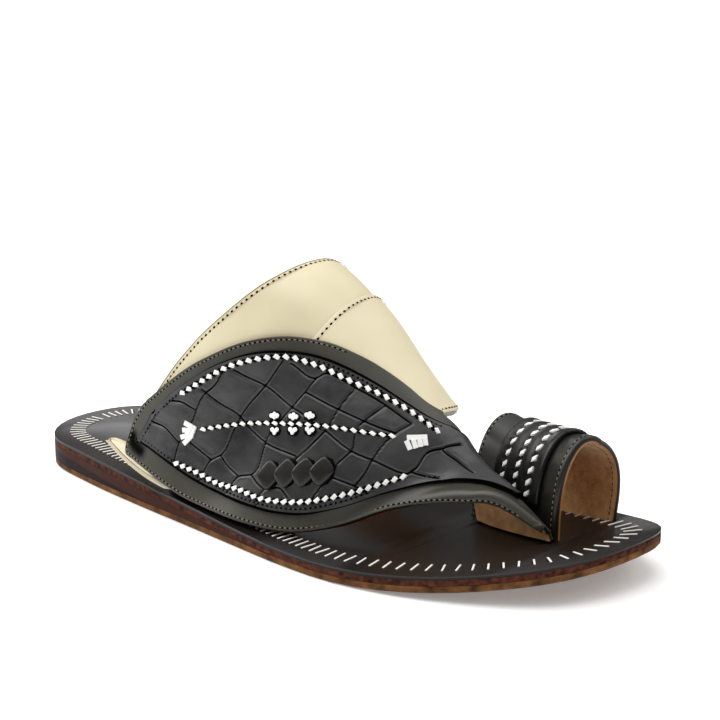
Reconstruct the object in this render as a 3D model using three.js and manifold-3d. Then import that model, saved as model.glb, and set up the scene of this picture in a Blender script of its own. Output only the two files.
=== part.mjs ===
// Right-foot Arabic sandal: layered leather sole, instep wing, leaf vamp and toe ring.
// X runs from heel to toe, Y to the big-toe side and Z up, in millimetres.
// The origin is on the ground under the middle of the heel.
import * as THREE from 'three';
import { mergeVertices } from 'three/addons/utils/BufferGeometryUtils.js';
import Module from 'manifold-3d';

const wasm = await Module();
wasm.setup();

// Driving sizes of the sole
const length = 285;
const ballWidth = 110;
const heelWidth = 72;
const heelCentre = 43;
const outsoleThick = 2.7;
const midsoleThick = 2.1;
const insoleThick = 1.2;
const heelLift = 6.9;
const toeSpring = 12.5;
const edgeRound = 0.8;
const insoleRound = 0.4;
const outlineSteps = 40;

// Driving sizes of the upper
const instepHeight = 95;
const wingThick = 2.8;
const wingStep = 1.2;
const leafThick = 2.0;
const panelThick = 1.3;
const tabThick = 2.0;
const ringHeight = 36;
const ringThick = 2.8;
const bandThick = 1.3;
const plaitThick = 2.0;

// Clearances between pieces, how far joined layers bite into each other,
// and how far above the insole a strap's leg starts to run straight down
const glue = 0.1;
const fit = 0.3;
const bite = 0.4;
const legStand = 1;

// Where the sole changes along its length, as shares of the length
const springFrom = 0.66;
const liftFrom = 0.102;
const liftTo = 0.637;
const wedgeTo = 0.57;

// Sole outline: at is a share of the length, out to each side a share of the row's width
const outline = [
  { at: 0.000, width: heelWidth, lateral: -0.033, medial: 0.033 },
  { at: 0.015, width: heelWidth, lateral: 0.226, medial: 0.292 },
  { at: 0.060, width: heelWidth, lateral: 0.407, medial: 0.454 },
  { at: 0.150, width: heelWidth, lateral: 0.504, medial: 0.483 },
  { at: 0.300, width: heelWidth, lateral: 0.596, medial: 0.493 },
  { at: 0.400, width: ballWidth, lateral: 0.421, medial: 0.336 },
  { at: 0.500, width: ballWidth, lateral: 0.454, medial: 0.380 },
  { at: 0.600, width: ballWidth, lateral: 0.485, medial: 0.441 },
  { at: 0.680, width: ballWidth, lateral: 0.492, medial: 0.486 },
  { at: 0.760, width: ballWidth, lateral: 0.460, medial: 0.505 },
  { at: 0.820, width: ballWidth, lateral: 0.408, medial: 0.492 },
  { at: 0.880, width: ballWidth, lateral: 0.331, medial: 0.448 },
  { at: 0.930, width: ballWidth, lateral: 0.245, medial: 0.394 },
  { at: 0.965, width: ballWidth, lateral: 0.155, medial: 0.341 },
  { at: 0.985, width: ballWidth, lateral: 0.057, medial: 0.295 },
  { at: 1.000, width: ballWidth, lateral: -0.176, medial: 0.176 },
];

// Arches of the instep, from the wing's rear edge (u 0) over its hem (u 1) to the leaf's tip (u 2).
// footAt and topAt are shares of the length, footOut, topOut and swell of the ball width,
// lift and top of the instep height above the insole. lean is the wall's slope at the foot in degrees.
// rise is how far the wall climbs before it bends, reach and round how far the crown runs out level
// to the little-toe and the big-toe side, swell how far the big-toe side bulges, and hump how far
// the little-toe side stands above its climb, as a share of the instep height.
const arches = [
  { u: 0.00, footAt: 0.214, footOut: -0.364, lift: 0.116, lean: 86, rise: 0.64,
    topAt: 0.4965, topOut: 0.018, top: 1.001, reach: 0.85, round: 0.88, swell: 0.102, hump: 0.000 },
  { u: 0.15, footAt: 0.267, footOut: -0.391, lift: 0.068, lean: 80, rise: 0.60,
    topAt: 0.519, topOut: 0.023, top: 0.969, reach: 0.78, round: 0.88, swell: 0.094, hump: 0.000 },
  { u: 0.30, footAt: 0.323, footOut: -0.414, lift: 0.041, lean: 74, rise: 0.56,
    topAt: 0.542, topOut: 0.027, top: 0.925, reach: 0.70, round: 0.88, swell: 0.087, hump: 0.000 },
  { u: 0.45, footAt: 0.375, footOut: -0.418, lift: 0.026, lean: 66, rise: 0.52,
    topAt: 0.567, topOut: 0.032, top: 0.859, reach: 0.64, round: 0.90, swell: 0.080, hump: 0.000 },
  { u: 0.60, footAt: 0.428, footOut: -0.411, lift: 0.014, lean: 62, rise: 0.48,
    topAt: 0.595, topOut: 0.036, top: 0.778, reach: 0.60, round: 0.90, swell: 0.073, hump: 0.000 },
  { u: 0.80, footAt: 0.502, footOut: -0.418, lift: 0.012, lean: 55, rise: 0.46,
    topAt: 0.639, topOut: 0.045, top: 0.616, reach: 0.60, round: 0.94, swell: 0.058, hump: 0.000 },
  { u: 1.00, footAt: 0.572, footOut: -0.386, lift: 0.014, lean: 48, rise: 0.45,
    topAt: 0.695, topOut: 0.055, top: 0.446, reach: 0.60, round: 0.96, swell: 0.029, hump: 0.000 },
  { u: 1.25, footAt: 0.642, footOut: -0.291, lift: 0.059, lean: 42, rise: 0.45,
    topAt: 0.726, topOut: 0.073, top: 0.332, reach: 0.60, round: 0.75, swell: 0.000, hump: 0.000 },
  { u: 1.50, footAt: 0.712, footOut: -0.191, lift: 0.149, lean: 36, rise: 0.45,
    topAt: 0.758, topOut: 0.077, top: 0.241, reach: 0.60, round: 0.75, swell: 0.000, hump: 0.006 },
  { u: 1.75, footAt: 0.782, footOut: -0.100, lift: 0.181, lean: 30, rise: 0.45,
    topAt: 0.804, topOut: 0.059, top: 0.181, reach: 0.60, round: 0.75, swell: 0.000, hump: 0.024 },
  { u: 1.90, footAt: 0.828, footOut: -0.036, lift: 0.160, lean: 36, rise: 0.45,
    topAt: 0.839, topOut: 0.042, top: 0.126, reach: 0.60, round: 0.75, swell: 0.000, hump: 0.030 },
  { u: 2.00, footAt: 0.876, footOut: 0.022, lift: 0.055, lean: 60, rise: 0.45,
    topAt: 0.878, topOut: 0.034, top: 0.040, reach: 0.60, round: 0.75, swell: 0.000, hump: 0.010 },
];

// Where the wing's big-toe side enters the insole
const wingFeet = [
  { u: 0.00, at: 0.351, out: 0.273 },
  { u: 0.30, at: 0.404, out: 0.284 },
  { u: 0.60, at: 0.460, out: 0.309 },
  { u: 1.00, at: 0.537, out: 0.336 },
];

// Slot between the first two toes, a straight line in plan, and how the leaf's foot runs along it
const toeSlot = { rearAt: 0.740, frontAt: 0.884, rearOut: 0.143, frontOut: 0.038 };
const leafFeet = [
  { u: 1.00, at: 0.695 },
  { u: 1.25, at: 0.723 },
  { u: 1.50, at: 0.758 },
  { u: 1.75, at: 0.811 },
  { u: 1.90, at: 0.849 },
  { u: 2.00, at: 0.883 },
];

// Borders across the arches: s 0 is the little-toe foot, 0.5 the crown and 1 the big-toe foot
const wingBorder = [
  { u: 0.00, low: 0.00 },
  { u: 0.40, low: 0.00 },
  { u: 0.60, low: 0.03 },
  { u: 0.80, low: 0.05 },
  { u: 1.00, low: 0.06 },
];
const wingHem = [
  { s: 0.00, to: 1.00 },
  { s: 0.50, to: 1.00 },
  { s: 0.57, to: 1.00 },
  { s: 0.66, to: 0.975 },
  { s: 0.78, to: 0.92 },
  { s: 1.00, to: 0.88 },
];
const cornerTo = 0.20;
const wingRear = [
  { s: 0.000, from: 0.012 },
  { s: 0.003, from: 0.022 },
  { s: 0.009, from: 0.030 },
  { s: 0.012, from: 0.055 },
  { s: 0.015, from: 0.082 },
  { s: 0.018, from: 0.110 },
  { s: 0.026, from: 0.125 },
  { s: 0.037, from: 0.105 },
  { s: 0.051, from: 0.085 },
  { s: 0.074, from: 0.062 },
  { s: 0.100, from: 0.042 },
  { s: 0.140, from: 0.018 },
  { s: cornerTo, from: 0.000 },
  { s: 1.000, from: 0.000 },
];
// The leaf reaches the toe slot from arch leafDrop on
const leafDrop = 1.38;
const leafBorder = [
  { u: 0.050, low: 0.076, high: 0.084 },
  { u: 0.056, low: 0.066, high: 0.094 },
  { u: 0.070, low: 0.051, high: 0.122 },
  { u: 0.095, low: 0.037, high: 0.157 },
  { u: 0.119, low: 0.022, high: 0.179 },
  { u: 0.145, low: 0.013, high: 0.198 },
  { u: 0.200, low: 0.012, high: 0.233 },
  { u: 0.297, low: 0.011, high: 0.280 },
  { u: 0.403, low: 0.007, high: 0.322 },
  { u: 0.527, low: 0.002, high: 0.361 },
  { u: 0.650, low: 0.000, high: 0.400 },
  { u: 0.759, low: 0.000, high: 0.442 },
  { u: 0.871, low: 0.000, high: 0.476 },
  { u: 0.948, low: 0.000, high: 0.495 },
  { u: 1.020, low: 0.000, high: 0.530 },
  { u: 1.150, low: 0.000, high: 0.650 },
  { u: 1.300, low: 0.000, high: 0.860 },
  { u: leafDrop, low: 0.000, high: 1.000 },
  { u: 2.000, low: 0.000, high: 1.000 },
];
const panelBorder = [
  { u: 0.128, low: 0.080, high: 0.090 },
  { u: 0.134, low: 0.074, high: 0.110 },
  { u: 0.146, low: 0.061, high: 0.132 },
  { u: 0.166, low: 0.037, high: 0.153 },
  { u: 0.190, low: 0.038, high: 0.176 },
  { u: 0.254, low: 0.040, high: 0.219 },
  { u: 0.317, low: 0.040, high: 0.252 },
  { u: 0.464, low: 0.037, high: 0.305 },
  { u: 0.630, low: 0.036, high: 0.354 },
  { u: 0.781, low: 0.041, high: 0.403 },
  { u: 0.924, low: 0.055, high: 0.443 },
  { u: 1.014, low: 0.076, high: 0.470 },
  { u: 1.123, low: 0.127, high: 0.520 },
  { u: 1.256, low: 0.191, high: 0.640 },
  { u: 1.415, low: 0.255, high: 0.740 },
  { u: 1.580, low: 0.330, high: 0.760 },
  { u: 1.748, low: 0.430, high: 0.760 },
  { u: 1.860, low: 0.480, high: 0.740 },
];
const stepBorder = [
  { s: 0.30, from: 0.51 },
  { s: 0.36, from: 0.49 },
  { s: 0.46, from: 0.45 },
  { s: 0.55, from: 0.42 },
  { s: 0.75, from: 0.38 },
  { s: 1.00, from: 0.36 },
];

// Toe ring's hoops from rear to front: feet as shares of the length and ball width,
// offset is the inner wall's distance in mm from the toe slot's line, tall a share of the ring height
const ringRoom = leafThick + fit + ringThick;
const bandRoom = ringRoom + bandThick + fit;
const hoops = [
  { t: 0.00, slotAt: 0.716, offset: bandRoom, outerAt: 0.741, outerOut: 0.442, tall: 1.00 },
  { t: 0.25, slotAt: 0.760, offset: bandRoom, outerAt: 0.783, outerOut: 0.415, tall: 0.95 },
  { t: 0.50, slotAt: 0.803, offset: bandRoom, outerAt: 0.824, outerOut: 0.387, tall: 0.93 },
  { t: 0.75, slotAt: 0.845, offset: bandRoom, outerAt: 0.864, outerOut: 0.358, tall: 0.92 },
  { t: 1.00, slotAt: 0.887, offset: ringRoom, outerAt: 0.903, outerOut: 0.330, tall: 0.93 },
];
const ringSwell = 4;
const ringTuck = 0.45;
const swellPeak = 0.36;
const legShare = 0.66;
const hoopRound = 0.58;
const bandFrom = 0.25;
const bandTo = 0.80;
const bandLow = 0.10;
const bandHigh = 0.94;
const laceRows = 3;
const laceSink = 0.45;

// Plait on the vamp: four overlapping lozenges, with their half sizes in u and s
const lozenges = [
  { u: 0.790, s: 0.124 },
  { u: 0.837, s: 0.149 },
  { u: 0.884, s: 0.174 },
  { u: 0.931, s: 0.199 },
];
const lozengeAlong = 0.046;
const lozengeAcross = 0.044;
const lozengeFall = 0.45;
const lozengeTuck = 0.15;

// Tab at the little-toe side that holds the wing down
const tabFrom = 0.17;
const tabTo = 0.92;
const tabTop = 0.15;
const tabFoot = 0.07;

// Curve through a table's column: cubic with three-point slopes
function column(rows, key, name) {
  const slopes = rows.map((row, i) => {
    const before = rows[Math.max(i - 1, 0)];
    const after = rows[Math.min(i + 1, rows.length - 1)];
    if (i === 0 || i === rows.length - 1) {
      return (after[name] - before[name]) / (after[key] - before[key]);
    }
    const gapBefore = row[key] - before[key];
    const gapAfter = after[key] - row[key];
    const slopeBefore = (row[name] - before[name]) / gapBefore;
    const slopeAfter = (after[name] - row[name]) / gapAfter;
    return (slopeBefore * gapAfter + slopeAfter * gapBefore) / (gapBefore + gapAfter);
  });
  return (x) => {
    let k = 0;
    while (k < rows.length - 2 && x > rows[k + 1][key]) k += 1;
    const h = rows[k + 1][key] - rows[k][key];
    const t = Math.min(Math.max((x - rows[k][key]) / h, 0), 1);
    const t2 = t * t;
    const t3 = t2 * t;
    return (2 * t3 - 3 * t2 + 1) * rows[k][name]
      + (t3 - 2 * t2 + t) * h * slopes[k]
      + (3 * t2 - 2 * t3) * rows[k + 1][name]
      + (t3 - t2) * h * slopes[k + 1];
  };
}

function columns(rows, key) {
  const names = Object.keys(rows[0]).filter((name) => name !== key);
  const curves = names.map((name) => [name, column(rows, key, name)]);
  return (x) => Object.fromEntries(curves.map(([name, curve]) => [name, curve(x)]));
}

function smooth(t) {
  const c = THREE.MathUtils.clamp(t, 0, 1);
  return c * c * (3 - 2 * c);
}

function bezier(a, b, c, d, t) {
  const q = 1 - t;
  return q * q * q * a + 3 * q * q * t * b + 3 * q * t * t * c + t * t * t * d;
}

function steps(from, to, count) {
  return Array.from({ length: count + 1 }, (_, i) => from + (to - from) * i / count);
}

// Heights of the sole's layers at a place along X
function shareAt(x) {
  return (x + heelCentre) / length;
}

function placeAt(share) {
  return share * length - heelCentre;
}

function groundAt(x) {
  const rise = Math.max((shareAt(x) - springFrom) / (1 - springFrom), 0);
  return toeSpring * rise * rise;
}

function liftAt(x) {
  return heelLift * (1 - smooth((shareAt(x) - liftFrom) / (liftTo - liftFrom)));
}

function outsoleTop(x) {
  return groundAt(x) + outsoleThick;
}

function midsoleBottom(x) {
  return outsoleTop(x) + liftAt(x) + glue;
}

function insoleBottom(x) {
  return midsoleBottom(x) + midsoleThick + glue;
}

function insoleTop(x) {
  return insoleBottom(x) + insoleThick;
}

// Closed geometry from points and triangles, without slivers that collapsed to a line
function closedGeometry(points, triangles) {
  const geometry = new THREE.BufferGeometry();
  const values = points.flatMap((p) => p.toArray());
  geometry.setAttribute('position', new THREE.Float32BufferAttribute(values, 3));
  geometry.setIndex(triangles.flat());
  const merged = mergeVertices(geometry, 1e-3);
  const index = Array.from(merged.index.array);
  const kept = [];
  for (let i = 0; i < index.length; i += 3) {
    const [a, b, c] = index.slice(i, i + 3);
    if (a !== b && b !== c && c !== a) kept.push(a, b, c);
  }
  merged.setIndex(kept);
  return merged;
}

// Outline of the sole at one inset, little-toe side forward and big-toe side back
const outlineAngles = outline.map((row) => ({
  angle: Math.acos(1 - 2 * row.at),
  lateral: row.lateral * row.width,
  medial: row.medial * row.width,
}));
const outlineSides = columns(outlineAngles, 'angle');

function outlineRing(toShare, inset) {
  const last = Math.acos(1 - 2 * toShare);
  const sides = steps(0, last, outlineSteps).map((angle) => {
    const x = placeAt((1 - Math.cos(angle)) / 2);
    const { lateral, medial } = outlineSides(angle);
    return { x, lateral: -lateral, medial };
  });
  const lateral = sides.map((side) => new THREE.Vector2(side.x, side.lateral));
  const medial = sides.map((side) => new THREE.Vector2(side.x, side.medial));
  const shrink = (line, sign) => line.map((p, i) => {
    const a = line[Math.max(i - 1, 0)];
    const b = line[Math.min(i + 1, line.length - 1)];
    const turn = new THREE.Vector2(b.x - a.x, b.y - a.y).normalize();
    const end = i === 0 || (i === line.length - 1 && toShare === 1);
    const inward = end
      ? new THREE.Vector2(i === 0 ? 1 : -1, 0)
      : new THREE.Vector2(-turn.y, turn.x).multiplyScalar(sign);
    return p.clone().addScaledVector(inward, inset);
  });
  return { lateral: shrink(lateral, 1), medial: shrink(medial, -1) };
}

// Layer of the sole from rings, bottom to top, each with an inset and a height function
function soleLayer(rings, toShare = 1) {
  const points = [];
  const index = [];
  rings.forEach(({ inset, height }, r) => {
    const ring = outlineRing(toShare, inset);
    index.push([]);
    for (let i = 0; i <= outlineSteps; i += 1) {
      const pair = [ring.lateral[i], ring.medial[i]].map((p) => {
        points.push(new THREE.Vector3(p.x, p.y, height(p.x)));
        return points.length - 1;
      });
      index[r].push(pair);
    }
  });
  const triangles = [];
  const quad = (a, b, c, d) => triangles.push([a, b, c], [a, c, d]);
  const top = rings.length - 1;
  for (let i = 0; i < outlineSteps; i += 1) {
    quad(index[0][i][0], index[0][i][1], index[0][i + 1][1], index[0][i + 1][0]);
    quad(index[top][i][0], index[top][i + 1][0], index[top][i + 1][1], index[top][i][1]);
    for (let r = 0; r < top; r += 1) {
      quad(index[r][i][0], index[r][i + 1][0], index[r + 1][i + 1][0], index[r + 1][i][0]);
      quad(index[r][i + 1][1], index[r][i][1], index[r + 1][i][1], index[r + 1][i + 1][1]);
    }
  }
  for (let r = 0; r < top; r += 1) {
    quad(index[r][0][1], index[r][0][0], index[r + 1][0][0], index[r + 1][0][1]);
    quad(index[r].at(-1)[0], index[r].at(-1)[1], index[r + 1].at(-1)[1], index[r + 1].at(-1)[0]);
  }
  return closedGeometry(points, triangles);
}

// Shell of even thickness over a grid of points, from one offset along the normals to another.
// Each offset is a number or a function of the row and column.
function shell(grid, outer, inner) {
  const rows = grid.length;
  const cols = grid[0].length;
  const normals = grid.map((line, i) => line.map((_, j) => {
    const along = new THREE.Vector3().subVectors(
      grid[Math.min(i + 1, rows - 1)][j], grid[Math.max(i - 1, 0)][j]);
    const across = new THREE.Vector3().subVectors(
      line[Math.min(j + 1, cols - 1)], line[Math.max(j - 1, 0)]);
    return along.cross(across).normalize();
  }));
  const offset = (amount, i, j) => (typeof amount === 'function' ? amount(i, j) : amount);
  const points = [];
  const layer = (amount) => grid.map((line, i) => line.map((p, j) => {
    points.push(p.clone().addScaledVector(normals[i][j], offset(amount, i, j)));
    return points.length - 1;
  }));
  const out = layer(outer);
  const back = layer(inner);
  const triangles = [];
  const quad = (a, b, c, d) => triangles.push([a, b, c], [a, c, d]);
  for (let i = 0; i < rows - 1; i += 1) {
    for (let j = 0; j < cols - 1; j += 1) {
      quad(out[i][j], out[i + 1][j], out[i + 1][j + 1], out[i][j + 1]);
      quad(back[i][j], back[i][j + 1], back[i + 1][j + 1], back[i + 1][j]);
    }
    quad(out[i][0], back[i][0], back[i + 1][0], out[i + 1][0]);
    quad(out[i][cols - 1], out[i + 1][cols - 1], back[i + 1][cols - 1], back[i][cols - 1]);
  }
  for (let j = 0; j < cols - 1; j += 1) {
    quad(out[0][j], out[0][j + 1], back[0][j + 1], back[0][j]);
    quad(out[rows - 1][j], back[rows - 1][j], back[rows - 1][j + 1], out[rows - 1][j + 1]);
  }
  return closedGeometry(points, triangles);
}

// Joins and cuts
function solid(geometry) {
  return new wasm.Manifold(new wasm.Mesh({
    numProp: 3,
    vertProperties: geometry.attributes.position.array,
    triVerts: new Uint32Array(geometry.index.array),
  }));
}

function fromSolid(body) {
  const mesh = body.getMesh();
  const geometry = new THREE.BufferGeometry();
  geometry.setAttribute('position', new THREE.BufferAttribute(mesh.vertProperties, 3));
  geometry.setIndex(Array.from(mesh.triVerts));
  return geometry;
}

// Instep form, how far its big-toe side climbs before it bends,
// and the factor that makes the hump's curve 1 at its top
const innerRise = 0.5;
const humpTop = 6.75;
const archAt = columns(arches, 'u');
const wingFootAt = columns(wingFeet, 'u');
const leafFootAt = columns(leafFeet, 'u');

function toeSlotOut(at) {
  const along = (at - toeSlot.rearAt) / (toeSlot.frontAt - toeSlot.rearAt);
  return (toeSlot.rearOut + (toeSlot.frontOut - toeSlot.rearOut) * along) * ballWidth;
}

function bigToeFoot(u) {
  if (u <= 1) {
    const foot = wingFootAt(u);
    return { x: placeAt(foot.at), y: foot.out * ballWidth };
  }
  const { at } = leafFootAt(u);
  return { x: placeAt(at), y: toeSlotOut(at) };
}

// Point of the instep's form on arch u at s, past 1 straight down into the insole
function instep(u, s) {
  const arch = archAt(u);
  const top = new THREE.Vector3(placeAt(arch.topAt), arch.topOut * ballWidth, 0);
  top.z = insoleTop(top.x) + arch.top * instepHeight;
  if (s <= 0.5) {
    const t = s / 0.5;
    const foot = new THREE.Vector3(placeAt(arch.footAt), arch.footOut * ballWidth, 0);
    foot.z = insoleTop(foot.x) + arch.lift * instepHeight;
    const lean = THREE.MathUtils.degToRad(arch.lean);
    const climb = bezier(0, arch.rise * Math.sin(lean), 1, 1, t);
    const pull = arch.rise * (top.z - foot.z) * Math.cos(lean);
    const y = bezier(foot.y, foot.y + pull, top.y - arch.reach * (top.y - foot.y), top.y, t);
    const stand = arch.hump * instepHeight * humpTop * t * (1 - t) * (1 - t);
    return new THREE.Vector3(
      foot.x + (top.x - foot.x) * climb, y, foot.z + (top.z - foot.z) * climb + stand);
  }
  const foot = bigToeFoot(u);
  const ground = insoleTop(foot.x) + legStand;
  if (s > 1) {
    return new THREE.Vector3(foot.x, foot.y, ground - (s - 1) * (legStand + insoleThick - fit));
  }
  const t = (1 - s) / 0.5;
  const climb = bezier(0, innerRise, 1, 1, t);
  const swell = arch.swell * ballWidth;
  const y = bezier(
    foot.y, foot.y + swell, top.y + arch.round * (foot.y - top.y) + swell, top.y, t);
  return new THREE.Vector3(
    foot.x + (top.x - foot.x) * climb, y, ground + (top.z - ground) * climb);
}

// Columns of a leg below its foot at s 1
const leg = [1.45, 2];

function instepGrid(us, range) {
  return us.map((u) => range(u).map((s) => instep(u, s)));
}

// Slot through the insole round a strap's leg, given as a line of pairs of points in plan
function slotCutter(pairs) {
  const reach = 2 * insoleThick;
  const sides = pairs.map(([a, b], i) => {
    const [c, d] = pairs[i === 0 ? 1 : i - 1];
    const across = new THREE.Vector2(b.x - a.x, b.y - a.y).normalize().multiplyScalar(fit);
    const end = i === 0 || i === pairs.length - 1;
    const along = new THREE.Vector2(a.x + b.x - c.x - d.x, a.y + b.y - c.y - d.y)
      .normalize()
      .multiplyScalar(end ? fit : 0);
    return [
      new THREE.Vector2(a.x - across.x + along.x, a.y - across.y + along.y),
      new THREE.Vector2(b.x + across.x + along.x, b.y + across.y + along.y),
    ];
  });
  const grid = sides.map((pair) => pair.map((p) => new THREE.Vector3(p.x, p.y, insoleTop(p.x))));
  const points = [];
  const index = grid.map((pair) => pair.map((p) => {
    points.push(new THREE.Vector3(p.x, p.y, p.z + reach), new THREE.Vector3(p.x, p.y, p.z - reach));
    return points.length - 2;
  }));
  const triangles = [];
  const quad = (a, b, c, d) => triangles.push([a, b, c], [a, c, d]);
  for (let i = 0; i < index.length - 1; i += 1) {
    const [a, b] = index[i];
    const [c, d] = index[i + 1];
    quad(a, c, d, b);
    quad(a + 1, b + 1, d + 1, c + 1);
    quad(a, a + 1, c + 1, c);
    quad(b, d, d + 1, b + 1);
  }
  const [a, b] = index[0];
  const [c, d] = index[index.length - 1];
  quad(a, b, b + 1, a + 1);
  quad(c, c + 1, d + 1, d);
  const cutter = solid(closedGeometry(points, triangles));
  if (cutter.volume() > 0) return cutter;
  return solid(closedGeometry(points, triangles.map(([p, q, r]) => [p, r, q])));
}

// Pairs of plan points of a leg, from a shell grid's two faces at its last column
function legPairs(line, outer, inner) {
  return line.map((p, i) => {
    const a = line[Math.max(i - 1, 0)];
    const b = line[Math.min(i + 1, line.length - 1)];
    const side = new THREE.Vector2(-(b.y - a.y), b.x - a.x).normalize();
    return [
      new THREE.Vector2(p.x + side.x * inner, p.y + side.y * inner),
      new THREE.Vector2(p.x + side.x * outer, p.y + side.y * outer),
    ];
  });
}

// Upper: the wing with its front step, and the leaf joined on where they cross
const wingLow = column(wingBorder, 'u', 'low');
const wingFrom = column(wingRear, 's', 'from');
const hemAt = column(wingHem, 's', 'to');
const leafLow = column(leafBorder, 'u', 'low');
const leafHigh = column(leafBorder, 'u', 'high');
const panelLow = column(panelBorder, 'u', 'low');
const panelHigh = column(panelBorder, 'u', 'high');
const stepFrom = column(stepBorder, 's', 'from');

function wing() {
  const shares = [...wingRear.slice(0, -1).map((row) => row.s), ...steps(cornerTo, 1, 22).slice(1)];
  const grid = steps(0, 1, 14).map((f) => {
    const low = Math.max(wingLow(f), 0);
    const line = shares.map((share) => {
      const from = Math.max(wingFrom(share), 0);
      const to = Math.min(hemAt(share), 1);
      return instep(from + (to - from) * f, low + share * (1 - low));
    });
    return [...line, ...leg.map((s) => instep(f * hemAt(1), s))];
  });
  return shell(grid, 0, -wingThick);
}

function wingFrontStep() {
  const ss = steps(stepBorder[0].s, 1, 18);
  const grid = steps(0, 1, 9).map((f) => ss.map((s) => {
    const from = stepFrom(s);
    return instep(from + (Math.min(hemAt(s), 1) - from) * f, s);
  }));
  return shell(grid, wingStep, -bite);
}

const leafStations = [
  0.05, 0.058, 0.07, 0.10, 0.145, 0.22, 0.31, 0.40, 0.49, 0.58, 0.67, 0.76, 0.85, 0.94,
  1.03, 1.12, 1.21, 1.30, leafDrop, 1.46, 1.55, 1.64, 1.73, 1.81, 1.88, 1.94, 2.0,
];

function leaf() {
  const grid = leafStations.map((u) => {
    const reach = leafHigh(u);
    const line = steps(leafLow(u), reach, 20).map((s) => leafPoint(u, s));
    leg.forEach((s) => line.push(leafPoint(u, reach < 1 ? reach : s)));
    return line;
  });
  return shell(grid, leafThick, -bite);
}

// The leaf keeps to the toe slot's side past the crown, where the wing goes on to the instep's foot
function leafPoint(u, s) {
  if (s <= 0.5 || u > 1) return instep(u, s);
  const top = instep(u, 0.5);
  const reach = instep(u, s);
  return new THREE.Vector3(reach.x, reach.y, Math.min(reach.z, top.z));
}

function vampPanel() {
  const us = [
    0.128, 0.136, 0.146, 0.166, 0.24, 0.31, 0.39, 0.47, 0.55, 0.63, 0.71, 0.79, 0.87, 0.95,
    1.03, 1.11, 1.19, 1.27, 1.35, 1.43, 1.51, 1.59, 1.67, 1.75, 1.81, 1.86,
  ];
  const grid = us.map((u) => steps(panelLow(u), panelHigh(u), 16).map((s) => leafPoint(u, s)));
  return shell(grid, leafThick + fit + panelThick, leafThick + fit);
}

function plait() {
  const base = leafThick + fit + panelThick + fit;
  const side = 6;
  const bodies = lozenges.map(({ u, s }, k) => {
    const grid = steps(-1, 1, side).map((a) => steps(-1, 1, side).map((b) => {
      const along = (a + b) / 2;
      const across = (b - a) / 2;
      return instep(u + along * lozengeAlong, s + across * lozengeAcross);
    }));
    const tilt = (i, j) => {
      const a = -1 + 2 * i / side;
      const b = -1 + 2 * j / side;
      return base + plaitThick * (1 - lozengeFall * Math.max(a * a, b * b)) - lozengeTuck * (k % 2);
    };
    return solid(shell(grid, tilt, base));
  });
  return fromSolid(bodies.reduce((sum, body) => sum.add(body)));
}

// Side tab: lies inside the wing's low wall and drops straight into its slot
function tabGrid() {
  const depth = wingThick + fit + fit + tabThick / 2;
  const us = steps(tabFrom, tabTo, 10);
  const ss = steps(tabTop, tabFoot, 5);
  const upper = shellPoints(instepGrid(us, () => ss), -depth);
  return upper.map((line) => {
    const foot = line[line.length - 1];
    const ground = insoleTop(foot.x);
    const drop = steps(foot.z, ground, 3).slice(1).map((z) => new THREE.Vector3(foot.x, foot.y, z));
    return [...line, ...drop, new THREE.Vector3(foot.x, foot.y, ground - insoleThick + fit)];
  });
}

// Points of a grid moved along its normals; columns run down, so the normals are turned round
function shellPoints(grid, amount) {
  return grid.map((line, i) => line.map((p, j) => {
    const along = new THREE.Vector3().subVectors(
      grid[Math.min(i + 1, grid.length - 1)][j], grid[Math.max(i - 1, 0)][j]);
    const down = new THREE.Vector3().subVectors(
      line[Math.min(j + 1, line.length - 1)], line[Math.max(j - 1, 0)]);
    return p.clone().addScaledVector(down.cross(along).normalize(), amount);
  }));
}

// Toe ring: inner wall of the hoop t at q, from the toe slot's foot over the top to the outer foot
const hoopAt = columns(hoops, 't');

function hoopPoint(t, q) {
  const hoop = hoopAt(t);
  const near = new THREE.Vector3(placeAt(hoop.slotAt), toeSlotOut(hoop.slotAt) + hoop.offset, 0);
  const far = new THREE.Vector3(placeAt(hoop.outerAt), hoop.outerOut * ballWidth, 0);
  near.z = insoleTop(near.x);
  far.z = insoleTop(far.x);
  const tall = hoop.tall * ringHeight;
  if (q < 0) return new THREE.Vector3(near.x, near.y, near.z + q * (insoleThick - fit));
  if (q > 1) return new THREE.Vector3(far.x, far.y, far.z - (q - 1) * (insoleThick - fit));
  const t2 = q < 0.5 ? q / 0.5 : (1 - q) / 0.5;
  const nearSide = q < 0.5;
  const across = bezier(0, 0, (1 - hoopRound) / 2, 0.5, t2);
  const share = nearSide ? across : 1 - across;
  const bulge = Math.sin(Math.PI * Math.min(t2 / (2 * swellPeak), 1));
  const swell = bulge * (nearSide ? -ringTuck : ringSwell);
  const x = near.x + (far.x - near.x) * share;
  const y = near.y + (far.y - near.y) * share + swell;
  const ground = near.z + (far.z - near.z) * share;
  return new THREE.Vector3(x, y, ground + tall * bezier(0, legShare, 1, 1, t2));
}

function toeRing() {
  const qs = [-1, ...steps(0, 1, 24), 2];
  const grid = steps(0, 1, 8).map((t) => qs.map((q) => hoopPoint(t, q)));
  return shell(grid, ringThick, 0);
}

// Ring band: one raised wall whose strips stand proud between the sunk rows of lacing
function ringBand() {
  const strips = 2 * laceRows + 1;
  const ts = steps(bandFrom, bandTo, 2 * strips);
  const grid = ts.map((t) => steps(bandLow, bandHigh, 20).map((q) => hoopPoint(t, q)));
  const outer = (i) => {
    const strip = Math.floor((i + 0.5) / 2);
    const sunk = strip % 2 === 1 && i > 0 && i < ts.length - 1;
    return ringThick + fit + bandThick - (sunk ? laceSink : 0);
  };
  return shell(grid, outer, ringThick + fit);
}

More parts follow.
